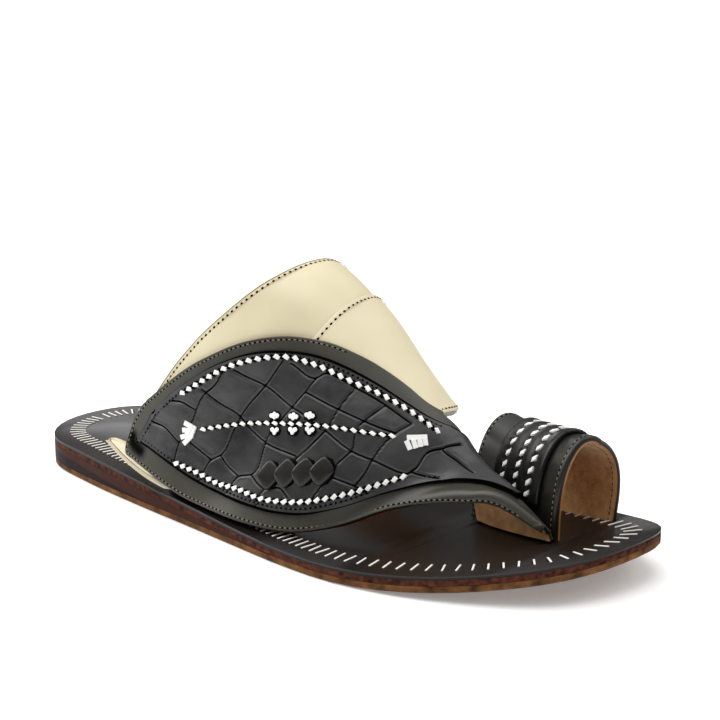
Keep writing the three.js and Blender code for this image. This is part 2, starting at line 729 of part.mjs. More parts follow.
// Insole: its slots are cut round the legs of the straps
function insole() {
  const plate = solid(soleLayer([
    { inset: 0, height: insoleBottom },
    { inset: 0, height: (x) => insoleTop(x) - insoleRound },
    { inset: insoleRound, height: insoleTop },
  ]));
  const wingLine = steps(0, hemAt(1), 14).map((u) => instep(u, 1));
  const leafLine = leafStations.filter((u) => u >= leafDrop).map((u) => instep(u, 1));
  const tabLine = tabGrid().map((line) => line[line.length - 1]);
  const hoopLine = (q) => steps(0, 1, 8).map((t) => hoopPoint(t, q));
  const cutters = [
    legPairs(wingLine, 0, -wingThick),
    legPairs(leafLine, leafThick, -bite),
    legPairs(tabLine, tabThick / 2, -tabThick / 2),
    legPairs(hoopLine(0), 0, -ringThick),
    legPairs(hoopLine(1), ringThick, 0),
  ].map(slotCutter);
  return fromSolid(cutters.reduce((body, cutter) => body.subtract(cutter), plate));
}

function upper() {
  return fromSolid(solid(wing()).add(solid(wingFrontStep())).add(solid(leaf())));
}

function piece(name, geometry, color, roughness) {
  const mesh = new THREE.Mesh(geometry, new THREE.MeshStandardMaterial({ color, roughness, metalness: 0 }));
  mesh.name = name;
  return mesh;
}

const sandal = new THREE.Group();
sandal.add(
  piece('outsole', soleLayer([
    { inset: edgeRound, height: groundAt },
    { inset: 0, height: (x) => groundAt(x) + edgeRound },
    { inset: 0, height: outsoleTop },
  ]), 0x8a4f24, 0.6),
  piece('heel_wedge', soleLayer([
    { inset: 0, height: (x) => outsoleTop(x) + glue },
    { inset: 0, height: (x) => outsoleTop(x) + liftAt(x) },
  ], wedgeTo), 0x3a2a28, 0.6),
  piece('midsole', soleLayer([
    { inset: 0, height: midsoleBottom },
    { inset: 0, height: (x) => midsoleBottom(x) + midsoleThick },
  ]), 0x6b3428, 0.6),
  piece('insole', insole(), 0x1c1a19, 0.3),
  piece('upper', upper(), 0xe6dcb8, 0.5),
  piece('side_tab', shell(tabGrid(), tabThick / 2, -tabThick / 2), 0x24231f, 0.5),
  piece('vamp_panel', vampPanel(), 0x2c2c2e, 0.4),
  piece('plait', plait(), 0x35332b, 0.5),
  piece('toe_ring', toeRing(), 0x26251f, 0.5),
  piece('ring_band', ringBand(), 0x1d1d1d, 0.5),
);

export default sandal;
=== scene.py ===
"""Looks of the right-foot Arabic sandal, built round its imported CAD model.

Metres, in the CAD model's frame: +X from heel to toe, +Y to the big-toe side, +Z up.
"""

import math
import random

import bmesh
import bpy
import numpy as np
from mathutils import Matrix, Vector


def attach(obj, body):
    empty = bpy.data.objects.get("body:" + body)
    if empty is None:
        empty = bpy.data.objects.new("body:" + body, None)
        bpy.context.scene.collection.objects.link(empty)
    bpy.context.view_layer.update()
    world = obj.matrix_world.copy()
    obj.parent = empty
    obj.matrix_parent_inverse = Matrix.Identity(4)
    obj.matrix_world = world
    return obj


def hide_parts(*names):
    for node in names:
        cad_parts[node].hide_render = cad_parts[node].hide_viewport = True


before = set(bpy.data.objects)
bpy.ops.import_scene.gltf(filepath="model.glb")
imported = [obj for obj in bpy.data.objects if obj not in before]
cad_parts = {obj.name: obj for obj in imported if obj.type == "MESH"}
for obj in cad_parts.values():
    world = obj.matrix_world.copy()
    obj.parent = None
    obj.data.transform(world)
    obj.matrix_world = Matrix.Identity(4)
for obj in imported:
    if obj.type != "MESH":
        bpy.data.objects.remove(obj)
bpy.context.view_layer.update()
MM = 0.001

# Driving sizes, as in the CAD model
LENGTH = 285 * MM
BALL_WIDTH = 110 * MM
HEEL_WIDTH = 72 * MM
INSTEP_HEIGHT = 95 * MM
HEEL_CENTRE = 43 * MM
OUTSOLE_THICK = 2.7 * MM
MIDSOLE_THICK = 2.1 * MM
INSOLE_THICK = 1.2 * MM
HEEL_LIFT = 6.9 * MM
TOE_SPRING = 12.5 * MM
WING_THICK = 2.8 * MM
WING_STEP = 1.2 * MM
LEAF_THICK = 2.0 * MM
PANEL_THICK = 1.3 * MM
RING_HEIGHT = 36 * MM
RING_THICK = 2.8 * MM
BAND_THICK = 1.3 * MM
GLUE = 0.1 * MM
FIT = 0.3 * MM
LEG_STAND = 1 * MM

# Where the sole changes along its length, as shares of the length
SPRING_FROM, LIFT_FROM, LIFT_TO = 0.66, 0.102, 0.637

# Arches of the instep: u, then foot at, foot out, lift, lean, rise, top at, top out, top,
# reach, round, swell and hump, as in the CAD model
ARCHES = [
    (0.0, 0.214, -0.364, 0.116, 86, 0.64, 0.4965, 0.018, 1.001, 0.85, 0.88, 0.102, 0.0),
    (0.15, 0.267, -0.391, 0.068, 80, 0.6, 0.519, 0.023, 0.969, 0.78, 0.88, 0.094, 0.0),
    (0.3, 0.323, -0.414, 0.041, 74, 0.56, 0.542, 0.027, 0.925, 0.7, 0.88, 0.087, 0.0),
    (0.45, 0.375, -0.418, 0.026, 66, 0.52, 0.567, 0.032, 0.859, 0.64, 0.9, 0.08, 0.0),
    (0.6, 0.428, -0.411, 0.014, 62, 0.48, 0.595, 0.036, 0.778, 0.6, 0.9, 0.073, 0.0),
    (0.8, 0.502, -0.418, 0.012, 55, 0.46, 0.639, 0.045, 0.616, 0.6, 0.94, 0.058, 0.0),
    (1.0, 0.572, -0.386, 0.014, 48, 0.45, 0.695, 0.055, 0.446, 0.6, 0.96, 0.029, 0.0),
    (1.25, 0.642, -0.291, 0.059, 42, 0.45, 0.726, 0.073, 0.332, 0.6, 0.75, 0.0, 0.0),
    (1.5, 0.712, -0.191, 0.149, 36, 0.45, 0.758, 0.077, 0.241, 0.6, 0.75, 0.0, 0.006),
    (1.75, 0.782, -0.1, 0.181, 30, 0.45, 0.804, 0.059, 0.181, 0.6, 0.75, 0.0, 0.024),
    (1.9, 0.828, -0.036, 0.16, 36, 0.45, 0.839, 0.042, 0.126, 0.6, 0.75, 0.0, 0.03),
    (2.0, 0.876, 0.022, 0.055, 60, 0.45, 0.878, 0.034, 0.04, 0.6, 0.75, 0.0, 0.01),
]
WING_FEET = [(0.00, 0.351, 0.273), (0.30, 0.404, 0.284), (0.60, 0.460, 0.309), (1.00, 0.537, 0.336)]
TOE_SLOT = {"rear_at": 0.740, "front_at": 0.884, "rear_out": 0.143, "front_out": 0.038}
LEAF_FEET = [(1.00, 0.695), (1.25, 0.723), (1.50, 0.758), (1.75, 0.811), (1.90, 0.849), (2.00, 0.883)]

# Borders across the arches: s 0 is the little-toe foot, 0.5 the crown and 1 the big-toe foot
WING_BORDER = [(0.00, 0.00), (0.40, 0.00), (0.60, 0.03), (0.80, 0.05), (1.00, 0.06)]
WING_HEM = [(0.00, 1.00), (0.50, 1.00), (0.57, 1.00), (0.66, 0.975), (0.78, 0.92), (1.00, 0.88)]
CORNER_TO = 0.20
WING_REAR = [
    (0.0, 0.012), (0.003, 0.022), (0.009, 0.03),
    (0.012, 0.055), (0.015, 0.082), (0.018, 0.11),
    (0.026, 0.125), (0.037, 0.105), (0.051, 0.085),
    (0.074, 0.062), (0.1, 0.042), (0.14, 0.018),
    (CORNER_TO, 0.0), (1.0, 0.0),
]
STEP_BORDER = [(0.30, 0.51), (0.36, 0.49), (0.46, 0.45), (0.55, 0.42), (0.75, 0.38), (1.00, 0.36)]
LEAF_BORDER = [
    (0.05, 0.076, 0.084), (0.056, 0.066, 0.094), (0.07, 0.051, 0.122),
    (0.095, 0.037, 0.157), (0.119, 0.022, 0.179), (0.145, 0.013, 0.198),
    (0.2, 0.012, 0.233), (0.297, 0.011, 0.28), (0.403, 0.007, 0.322),
    (0.527, 0.002, 0.361), (0.65, 0.0, 0.4), (0.759, 0.0, 0.442),
    (0.871, 0.0, 0.476), (0.948, 0.0, 0.495), (1.02, 0.0, 0.53),
    (1.15, 0.0, 0.65), (1.3, 0.0, 0.86), (1.38, 0.0, 1.0),
    (2.0, 0.0, 1.0),
]
PANEL_BORDER = [
    (0.128, 0.08, 0.09), (0.134, 0.074, 0.11), (0.146, 0.061, 0.132),
    (0.166, 0.037, 0.153), (0.19, 0.038, 0.176), (0.254, 0.04, 0.219),
    (0.317, 0.04, 0.252), (0.464, 0.037, 0.305), (0.63, 0.036, 0.354),
    (0.781, 0.041, 0.403), (0.924, 0.055, 0.443), (1.014, 0.076, 0.47),
    (1.123, 0.127, 0.52), (1.256, 0.191, 0.64), (1.415, 0.255, 0.74),
    (1.58, 0.33, 0.76), (1.748, 0.43, 0.76), (1.86, 0.48, 0.74),
]

# Sole outline: at, then how far out to the little-toe and the big-toe side, as shares of the heel's
# width up to HEEL_TO and of the ball's width past it
HEEL_TO = 0.3
OUTLINE = [
    (0.0, -0.033, 0.033), (0.015, 0.226, 0.292), (0.06, 0.407, 0.454), (0.15, 0.504, 0.483),
    (0.3, 0.596, 0.493), (0.4, 0.421, 0.336), (0.5, 0.454, 0.38), (0.6, 0.485, 0.441),
    (0.68, 0.492, 0.486), (0.76, 0.46, 0.505), (0.82, 0.408, 0.492), (0.88, 0.331, 0.448),
    (0.93, 0.245, 0.394), (0.965, 0.155, 0.341), (0.985, 0.057, 0.295), (1.0, -0.176, 0.176),
]

# Toe ring: t, then slot at, offset from the toe slot's line, outer at, outer out and height share
RING_ROOM = LEAF_THICK + FIT + RING_THICK
BAND_ROOM = RING_ROOM + BAND_THICK + FIT
HOOPS = [
    (0.0, 0.716, BAND_ROOM, 0.741, 0.442, 1.0),
    (0.25, 0.76, BAND_ROOM, 0.783, 0.415, 0.95),
    (0.5, 0.803, BAND_ROOM, 0.824, 0.387, 0.93),
    (0.75, 0.845, BAND_ROOM, 0.864, 0.358, 0.92),
    (1.0, 0.887, RING_ROOM, 0.903, 0.33, 0.93),
]
RING_SWELL, RING_TUCK = 4 * MM, 0.45 * MM
SWELL_PEAK, LEG_SHARE, HOOP_ROUND, INNER_RISE, HUMP_TOP = 0.36, 0.66, 0.58, 0.5, 6.75
BAND_FROM, BAND_TO, BAND_LOW, BAND_HIGH = 0.25, 0.80, 0.10, 0.94

# Embossed creases of the vamp panel, each a run of (u, s) places read off the photograph
CREASES = [
    [(0.27, 0.203), (0.29, 0.171), (0.28, 0.155), (0.32, 0.108), (0.34, 0.071), (0.38, 0.046)],
    [(0.47, 0.284), (0.49, 0.232), (0.49, 0.176), (0.51, 0.144), (0.54, 0.096), (0.52, 0.081), (0.54, 0.04)],
    [(0.65, 0.312), (0.66, 0.241), (0.66, 0.181), (0.72, 0.101), (0.68, 0.084), (0.69, 0.045)],
    [(0.78, 0.367), (0.8, 0.311), (0.82, 0.273), (0.82, 0.172)],
    [(0.89, 0.396), (0.9, 0.306), (0.94, 0.272), (0.94, 0.255), (0.98, 0.13)],
    [(0.99, 0.414), (0.99, 0.353), (1.02, 0.291), (1.05, 0.253), (1.07, 0.211)],
    [(1.23, 0.433), (1.19, 0.398), (1.25, 0.327), (1.25, 0.297)],
    [(0.31, 0.213), (0.38, 0.219), (0.49, 0.231), (0.66, 0.241), (0.72, 0.25), (0.81, 0.258)],
    [(0.25, 0.156), (0.37, 0.159), (0.49, 0.165), (0.57, 0.161), (0.68, 0.163), (0.81, 0.185)],
    [(0.16, 0.111), (0.21, 0.12), (0.29, 0.126)],
    [(0.16, 0.071), (0.23, 0.077), (0.33, 0.074)],
    [(0.33, 0.085), (0.45, 0.082), (0.52, 0.081)],
    [(0.54, 0.096), (0.59, 0.089), (0.68, 0.084)],
    [(0.72, 0.101), (0.81, 0.095), (0.85, 0.112), (0.91, 0.103)],
    [(0.81, 0.095), (0.81, 0.079), (0.84, 0.045)],
    [(0.51, 0.29), (0.65, 0.312), (0.66, 0.33), (0.71, 0.349), (0.78, 0.367), (0.89, 0.396), (0.99, 0.415)],
    [(0.66, 0.278), (0.74, 0.296), (0.8, 0.311), (0.9, 0.34), (0.99, 0.372)],
    [(0.82, 0.263), (0.94, 0.272), (1.03, 0.289), (1.25, 0.297)],
    [(0.97, 0.2), (1.07, 0.208), (1.16, 0.2)],
    [(1.26, 0.487), (1.23, 0.433), (1.38, 0.435), (1.55, 0.434)],
    [(1.26, 0.31), (1.45, 0.316)],
]

# White lacing on the vamp panel: paths of (u, s) places, then the rosettes' places
LACE_UPPER = [
    (0.19, 0.133), (0.3, 0.222), (0.41, 0.272), (0.49, 0.298), (0.58, 0.318), (0.75, 0.365),
    (0.88, 0.41), (0.95, 0.431), (1.08, 0.453),
]
LACE_LOWER = [
    (0.4, 0.047), (0.52, 0.052), (0.64, 0.054), (0.73, 0.065), (0.83, 0.072), (0.96, 0.109),
    (1.06, 0.167), (1.17, 0.24), (1.25, 0.283),
]
LACE_MIDDLE = [
    (0.39, 0.113), (0.45, 0.133), (0.52, 0.157), (0.67, 0.206), (0.8, 0.263), (0.91, 0.316), (0.99, 0.36),
]
ROSETTES = [(0.628, 0.207), (0.697, 0.233), (0.744, 0.259), (0.675, 0.190), (0.735, 0.216), (0.785, 0.241)]


def curve_through(rows, column):
    """Cubic curve with three-point slopes through one column of a table, as in the CAD model."""
    xs = np.array([row[0] for row in rows])
    ys = np.array([row[column] for row in rows])
    slopes = np.empty(len(xs))
    steps_x, steps_y = np.diff(xs), np.diff(ys)
    ratios = steps_y / steps_x
    slopes[0], slopes[-1] = ratios[0], ratios[-1]
    slopes[1:-1] = (ratios[:-1] * steps_x[1:] + ratios[1:] * steps_x[:-1]) / (steps_x[:-1] + steps_x[1:])

    def value(x):
        k = np.clip(np.searchsorted(xs, x) - 1, 0, len(xs) - 2)
        h = steps_x[k]
        t = np.clip((x - xs[k]) / h, 0, 1)
        t2, t3 = t * t, t * t * t
        return (
            (2 * t3 - 3 * t2 + 1) * ys[k]
            + (t3 - 2 * t2 + t) * h * slopes[k]
            + (3 * t2 - 2 * t3) * ys[k + 1]
            + (t3 - t2) * h * slopes[k + 1]
        )

    return value


def curves(rows):
    """One curve for each column of a table after its first."""
    return [curve_through(rows, column) for column in range(1, len(rows[0]))]


def bezier(a, b, c, d, t):
    q = 1 - t
    return q * q * q * a + 3 * q * q * t * b + 3 * q * t * t * c + t * t * t * d


def smooth(t):
    c = np.clip(t, 0, 1)
    return c * c * (3 - 2 * c)


def insole_top(x):
    share = (x + HEEL_CENTRE) / LENGTH
    rise = np.maximum((share - SPRING_FROM) / (1 - SPRING_FROM), 0)
    lift = HEEL_LIFT * (1 - smooth((share - LIFT_FROM) / (LIFT_TO - LIFT_FROM)))
    return TOE_SPRING * rise * rise + OUTSOLE_THICK + lift + MIDSOLE_THICK + INSOLE_THICK + 2 * GLUE


def place_at(share):
    return share * LENGTH - HEEL_CENTRE


def toe_slot_out(at):
    along = (at - TOE_SLOT["rear_at"]) / (TOE_SLOT["front_at"] - TOE_SLOT["rear_at"])
    return (TOE_SLOT["rear_out"] + (TOE_SLOT["front_out"] - TOE_SLOT["rear_out"]) * along) * BALL_WIDTH


ARCH = curves(ARCHES)
HOOP = curves(HOOPS)
WING_FOOT_AT, WING_FOOT_OUT = curves(WING_FEET)
LEAF_FOOT_AT, WING_LOW, WING_FROM, HEM_AT, STEP_FROM = (
    curve_through(rows, 1) for rows in (LEAF_FEET, WING_BORDER, WING_REAR, WING_HEM, STEP_BORDER)
)
LEAF_LOW, LEAF_HIGH = curves(LEAF_BORDER)
PANEL_LOW, PANEL_HIGH = curves(PANEL_BORDER)


def instep(u, s):
    """Points of the instep's form for arrays of arches u and shares s, in the last axis X, Y and Z."""
    u, s = np.broadcast_arrays(np.asarray(u, float), np.asarray(s, float))
    foot_at, foot_out, lift, lean, rise, top_at, top_out, top_share, reach, rounding, swell, hump = (
        curve(u) for curve in ARCH
    )
    top_x, top_y = place_at(top_at), top_out * BALL_WIDTH
    top_z = insole_top(top_x) + top_share * INSTEP_HEIGHT
    t = np.clip(s / 0.5, 0, 1)
    x0, y0 = place_at(foot_at), foot_out * BALL_WIDTH
    z0 = insole_top(x0) + lift * INSTEP_HEIGHT
    angle = np.radians(lean)
    climb = bezier(0, rise * np.sin(angle), 1, 1, t)
    pull = rise * (top_z - z0) * np.cos(angle)
    little = np.stack([
        x0 + (top_x - x0) * climb,
        bezier(y0, y0 + pull, top_y - reach * (top_y - y0), top_y, t),
        z0 + (top_z - z0) * climb + hump * INSTEP_HEIGHT * HUMP_TOP * t * (1 - t) ** 2,
    ], axis=-1)
    on_wing = u <= 1
    slot_at = LEAF_FOOT_AT(u)
    x1 = place_at(np.where(on_wing, WING_FOOT_AT(u), slot_at))
    y1 = np.where(on_wing, WING_FOOT_OUT(u) * BALL_WIDTH, toe_slot_out(slot_at))
    z1 = insole_top(x1) + LEG_STAND
    t = np.clip((1 - s) / 0.5, 0, 1)
    climb = bezier(0, INNER_RISE, 1, 1, t)
    bulge = swell * BALL_WIDTH
    big = np.stack([
        x1 + (top_x - x1) * climb,
        bezier(y1, y1 + bulge, top_y + rounding * (y1 - top_y) + bulge, top_y, t),
        z1 + (top_z - z1) * climb,
    ], axis=-1)
    big[..., 2] -= np.where(s > 1, (s - 1) * (LEG_STAND + INSOLE_THICK - FIT), 0)
    return np.where((s <= 0.5)[..., None], little, big)


def leaf_form(u, s):
    """The leaf's form: the instep's, but never higher than its crown past it."""
    points = instep(u, s)
    top = instep(u, np.full_like(np.asarray(s, float), 0.5))[..., 2]
    past = (np.asarray(s) > 0.5) & (np.asarray(u) <= 1)
    points[..., 2] = np.where(past, np.minimum(points[..., 2], top), points[..., 2])
    return points


def hoop(t, q):
    """Inner wall of the toe ring: t from its rear to its front edge, q from the slot over the top."""
    t, q = np.broadcast_arrays(np.asarray(t, float), np.asarray(q, float))
    slot_at, offset, outer_at, outer_out, tall = (curve(t) for curve in HOOP)
    near = np.stack([place_at(slot_at), toe_slot_out(slot_at) + offset], axis=-1)
    far = np.stack([place_at(outer_at), outer_out * BALL_WIDTH], axis=-1)
    near_z, far_z = insole_top(near[..., 0]), insole_top(far[..., 0])
    half = np.clip(np.where(q < 0.5, q / 0.5, (1 - q) / 0.5), 0, 1)
    across = bezier(0, 0, (1 - HOOP_ROUND) / 2, 0.5, half)
    share = np.where(q < 0.5, across, 1 - across)
    bulge = np.sin(np.pi * np.minimum(half / (2 * SWELL_PEAK), 1))
    out = bulge * np.where(q < 0.5, -RING_TUCK, RING_SWELL)
    flat = near + (far - near) * share[..., None]
    ground = near_z + (far_z - near_z) * share
    z = ground + tall * RING_HEIGHT * bezier(0, LEG_SHARE, 1, 1, half)
    z -= np.where(q < 0, -q, np.where(q > 1, q - 1, 0)) * (INSOLE_THICK - FIT)
    return np.stack([flat[..., 0], flat[..., 1] + out, z], axis=-1)


def wide_difference(points, axis):
    """Difference along an axis of a rimmed grid; a rim's close rows all take that over the whole rim."""
    count = points.shape[axis]
    reach = len(RIM_TURN)
    at = np.arange(count)
    before, after = np.maximum(at - 1, 0), np.minimum(at + 1, count - 1)
    before[:reach], after[:reach] = 0, reach
    before[-reach:], after[-reach:] = count - 1 - reach, count - 1
    return np.take(points, after, axis=axis) - np.take(points, before, axis=axis)


def grid_normals(points):
    normals = np.cross(wide_difference(points, 0), wide_difference(points, 1))
    return normals / np.maximum(np.linalg.norm(normals, axis=2, keepdims=True), 1e-12)


def line_run(line):
    """Distance of each point of a line from its start."""
    return np.linalg.norm(np.diff(line, axis=0, prepend=line[:1]), axis=1).cumsum()


def grid_run(points, axis):
    """Distance of each point of a grid from its first row or column."""
    first = points[:, :1] if axis else points[:1]
    return np.linalg.norm(np.diff(points, axis=axis, prepend=first), axis=2).cumsum(axis=axis)


def rim_distance(points):
    """Distance from each point of a grid to the grid's nearest edge."""
    across, along = grid_run(points, 1), grid_run(points, 0)
    return np.minimum.reduce([across, across[:, -1:] - across, along, along[-1:] - along])


def run_distance(points, run):
    """Distance from each point of a grid to the nearest place of a run."""
    return np.min(np.linalg.norm(points[:, :, None, :] - run[None, None], axis=3), axis=2)


def between(at, lengths, values):
    """Vectors along a line, at distances from its start."""
    return np.stack([np.interp(at, lengths, values[:, k]) for k in range(3)], axis=1)


def patch(low, high, u, across):
    """Grid on the leaf's form between two borders, at arches u."""
    s = low(u) + (high(u) - low(u)) * steps(0, 1, across)[None, :]
    return leaf_form(u, s)


def steps(start, end, count):
    return np.linspace(start, end, count + 1)


# Meshes: turns of a rounded rim, the most of a line that one rim takes, and the gap within which
# a CAD node's corners are one
RIM_TURN = np.linspace(0, np.pi / 2, 5)
RIM_SHARE = 0.3
MERGE_GAP = 0.002 * MM


def add_object(name, data):
    obj = bpy.data.objects.new(name, data)
    bpy.context.scene.collection.objects.link(obj)
    return obj


def finish_mesh(name, bm, body="root", materials=()):
    mesh = bpy.data.meshes.new(name)
    bm.to_mesh(mesh)
    bm.free()
    obj = add_object(name, mesh)
    for material in materials:
        mesh.materials.append(material)
    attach(obj, body)
    return obj


def spread(line, rim):
    """A line's points moved in from both ends, with close points there, and how far the round rim drops."""
    at = line_run(line)
    reach = min(rim, at[-1] * RIM_SHARE)
    ends = reach * (1 - np.cos(RIM_TURN[:-1]))
    places = np.concatenate([ends, reach + (at[-1] - 2 * reach) * at / at[-1], at[-1] - ends[::-1]])
    near = np.minimum(places, at[-1] - places).clip(0, reach)
    drop = reach - np.sqrt(np.maximum(reach ** 2 - (reach - near) ** 2, 0))
    return between(places, at, line), drop


def rimmed(points, rim):
    """The grid with close rows and columns added at its rim, and how far the rim's round drops there."""
    lines, drops = zip(*(spread(line, rim) for line in points))
    across = np.stack(lines)
    columns, drops_along = zip(*(spread(across[:, j], rim) for j in range(across.shape[1])))
    extra = len(RIM_TURN) - 1
    rows = np.clip(np.arange(-extra, len(points) + extra), 0, len(points) - 1)
    drop_across = np.stack(drops)[rows]
    return np.stack(columns, axis=1), np.maximum(drop_across, np.stack(drops_along, axis=1))


def shell(name, points, outer, inner, materials, attributes=None):
    """Closed shell over a grid of points between two offsets along its normals.

    materials are those of the outer face, the inner face and the rim. UV runs in metres, and the
    attribute depth is 0 on the outer face and 1 on the inner one.
    """
    rows, cols = points.shape[:2]
    normals = grid_normals(points)
    across, along = grid_run(points, 1), grid_run(points, 0)
    high, low = (
        points + normals * np.broadcast_to(offset, (rows, cols))[..., None] for offset in (outer, inner)
    )
    bm = bmesh.new()
    bmesh.ops.create_grid(bm, x_segments=cols - 1, y_segments=rows - 1, size=1)
    made = bmesh.ops.extrude_face_region(bm, geom=bm.faces[:], use_keep_orig=True)
    raised = [g for g in made["geom"] if isinstance(g, bmesh.types.BMVert)]
    bmesh.ops.translate(bm, vec=(0, 0, 1), verts=raised)
    bmesh.ops.recalc_face_normals(bm, faces=bm.faces[:])
    uv = bm.loops.layers.uv.new("UVMap")
    depth = bm.verts.layers.float.new("depth")
    layers = {key: bm.verts.layers.float.new(key) for key in (attributes or {})}
    where = {}
    for vert in bm.verts:
        i, j = round((vert.co.y + 1) / 2 * (rows - 1)), round((vert.co.x + 1) / 2 * (cols - 1))
        top = vert.co.z > 0.5
        where[vert] = (i, j, top)
        vert[depth] = 0.0 if top else 1.0
        for key, layer in layers.items():
            vert[layer] = float(attributes[key][i, j])
    for face in bm.faces:
        tops = sum(where[v][2] for v in face.verts)
        face.material_index = min({len(face.verts): 0, 0: 1}.get(tops, 2), len(materials) - 1)
        face.smooth = True
        for loop in face.loops:
            i, j, _ = where[loop.vert]
            loop[uv].uv = (along[i, j], across[i, j])
    for vert, (i, j, top) in where.items():
        vert.co = high[i, j] if top else low[i, j]
    if bm.calc_volume(signed=True) < 0:
        bmesh.ops.reverse_faces(bm, faces=bm.faces[:])
    return finish_mesh(name, bm, materials=materials)


def copy_of_node(name, node, materials):
    """Merged copy of a CAD node's mesh, which then stands for it."""
    bm = bmesh.new()
    bm.from_mesh(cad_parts[node].data)
    bmesh.ops.remove_doubles(bm, verts=bm.verts[:], dist=MERGE_GAP)
    for face in bm.faces:
        face.smooth = True
    obj = finish_mesh(name, bm, materials=materials)
    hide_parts(node)
    return obj


def join_into(bm, other):
    """Adds another bmesh's faces to bm."""
    mesh = bpy.data.meshes.new("part")
    other.to_mesh(mesh)
    other.free()
    bm.from_mesh(mesh)
    bpy.data.meshes.remove(mesh)


def frame_matrix(place, along, normal):
    """Axes with X along a path and Z along a surface's normal."""
    z = Vector(normal).normalized()
    x = Vector(along)
    x = (x - z * x.dot(z)).normalized()
    y = z.cross(x)
    matrix = Matrix((x, y, z)).transposed().to_4x4()
    matrix.translation = Vector(place)
    return matrix


def scatter(name, make, matrices, materials):
    """One mesh with a copy of the small shape that make() builds at each matrix."""
    seed = make()
    pattern = bpy.data.meshes.new("pattern")
    seed.to_mesh(pattern)
    seed.free()
    bm = bmesh.new()
    for matrix in matrices:
        first = len(bm.verts)
        bm.from_mesh(pattern)
        bm.verts.ensure_lookup_table()
        bmesh.ops.transform(bm, matrix=matrix, verts=bm.verts[first:])
    bpy.data.meshes.remove(pattern)
    for face in bm.faces:
        face.smooth = True
    return finish_mesh(name, bm, materials=materials)


def pill(length, width, height, segments=8):
    """Small rounded thread float: a flattened sphere, longer along X."""
    bm = bmesh.new()
    bmesh.ops.create_uvsphere(bm, u_segments=segments, v_segments=5, radius=0.5)
    bmesh.ops.rotate(bm, verts=bm.verts[:], cent=(0, 0, 0), matrix=Matrix.Rotation(math.pi / 2, 3, "Y"))
    bmesh.ops.scale(bm, verts=bm.verts[:], vec=(length, width, height))
    return bm


def tile(length, width, height, sides=4, bar=False, lean=0.0):
    """Small raised piece of lace: a bevelled diamond with corners along and across X, or a bar."""
    bm = bmesh.new()
    if bar:
        bmesh.ops.create_cube(bm, size=1)
    else:
        bmesh.ops.create_cone(bm, cap_ends=True, segments=sides, radius1=0.5, radius2=0.42, depth=1)
    bmesh.ops.scale(bm, verts=bm.verts[:], vec=(length, width, height))
    bmesh.ops.bevel(
        bm, geom=bm.edges[:], offset=0.10 * min(width, height), offset_type="OFFSET", segments=2,
        profile=0.5, affect="EDGES", material=-1, clamp_overlap=True,
    )
    slant = Matrix(((1, lean, 0), (0, 1, 0), (0, 0, 1)))
    bmesh.ops.transform(bm, matrix=slant.to_4x4(), verts=bm.verts[:])
    return bm


def resample(points, count=None, spacing=None):
    """Even places along a 3D path, and the directions there."""
    lengths = line_run(points)
    if count is None:
        count = max(int(round(lengths[-1] / spacing)), 1) + 1
    at = np.linspace(0, lengths[-1], count)
    places = between(at, lengths, points)
    tangents = np.gradient(places, axis=0)
    tangents /= np.linalg.norm(tangents, axis=1, keepdims=True)
    return places, tangents, at


def path_of(pairs, count=200):
    """Smooth run of (u, s) through given places, by distance between them."""
    pairs = np.array(pairs)
    chord = np.concatenate([[0], np.hypot(*(np.diff(pairs, axis=0) * [1, 2]).T).cumsum()])
    rows = [(c, u, s) for c, (u, s) in zip(chord, pairs)]
    at = np.linspace(0, chord[-1], count)
    return [curve(at) for curve in curves(rows)]


def form_normal(form, u, s):
    small = 1e-3
    du = form(u + small, s) - form(u - small, s)
    ds = form(u, s + small) - form(u, s - small)
    normal = np.cross(du, ds)
    return normal / np.linalg.norm(normal, axis=-1, keepdims=True)


def on_form(form, u, s, lift, count):
    """Matrices along a (u, s) run, raised above the form by lift."""
    normals = form_normal(form, u, s)
    points = form(u, s) + normals * lift
    places, tangents, at = resample(points, count=count)
    ups = between(at, line_run(points), normals)
    return [frame_matrix(p, t, n) for p, t, n in zip(places, tangents, ups)]


# Rows in from an edge that show which way is inwards, and the least step between two of its points
INWARD_ROWS, LEAST_STEP = 8, 0.05 * MM


def border(points, sides, inset, lift, spacing, low, high):
    """Matrices along an edge of a grid, a little way in from it and raised along its normals.

    sides are runs of the grid's edge in order: name, and whether it is walked backwards.
    """
    normals = grid_normals(points)
    edges = {
        "low": (points[:, 0], points[:, INWARD_ROWS], normals[:, 0]),
        "high": (points[:, -1], points[:, -1 - INWARD_ROWS], normals[:, -1]),
        "rear": (points[0], points[INWARD_ROWS], normals[0]),
        "front": (points[-1], points[-1 - INWARD_ROWS], normals[-1]),
    }
    picked = [[part[::-1] if back else part for part in edges[name]] for name, back in sides]
    edge, inner, up = (np.concatenate([part[k] for part in picked]) for k in range(3))
    keep = np.concatenate([[True], np.linalg.norm(np.diff(edge, axis=0), axis=1) > LEAST_STEP])
    edge, inner, up = edge[keep], inner[keep], up[keep]
    tangent = np.gradient(edge, axis=0)
    tangent /= np.linalg.norm(tangent, axis=1, keepdims=True)
    inward = inner - edge
    inward -= tangent * (inward * tangent).sum(axis=1, keepdims=True)
    inward -= up * (inward * up).sum(axis=1, keepdims=True)
    inward /= np.linalg.norm(inward, axis=1, keepdims=True)
    run = edge + inward * inset + up * lift
    lengths = line_run(run)
    places, tangents, at = resample(run, spacing=spacing)
    ups = between(at, lengths, up)
    chosen = (at >= low * lengths[-1]) & (at <= high * lengths[-1])
    return [frame_matrix(p, t, n) for p, t, n in zip(places[chosen], tangents[chosen], ups[chosen])]


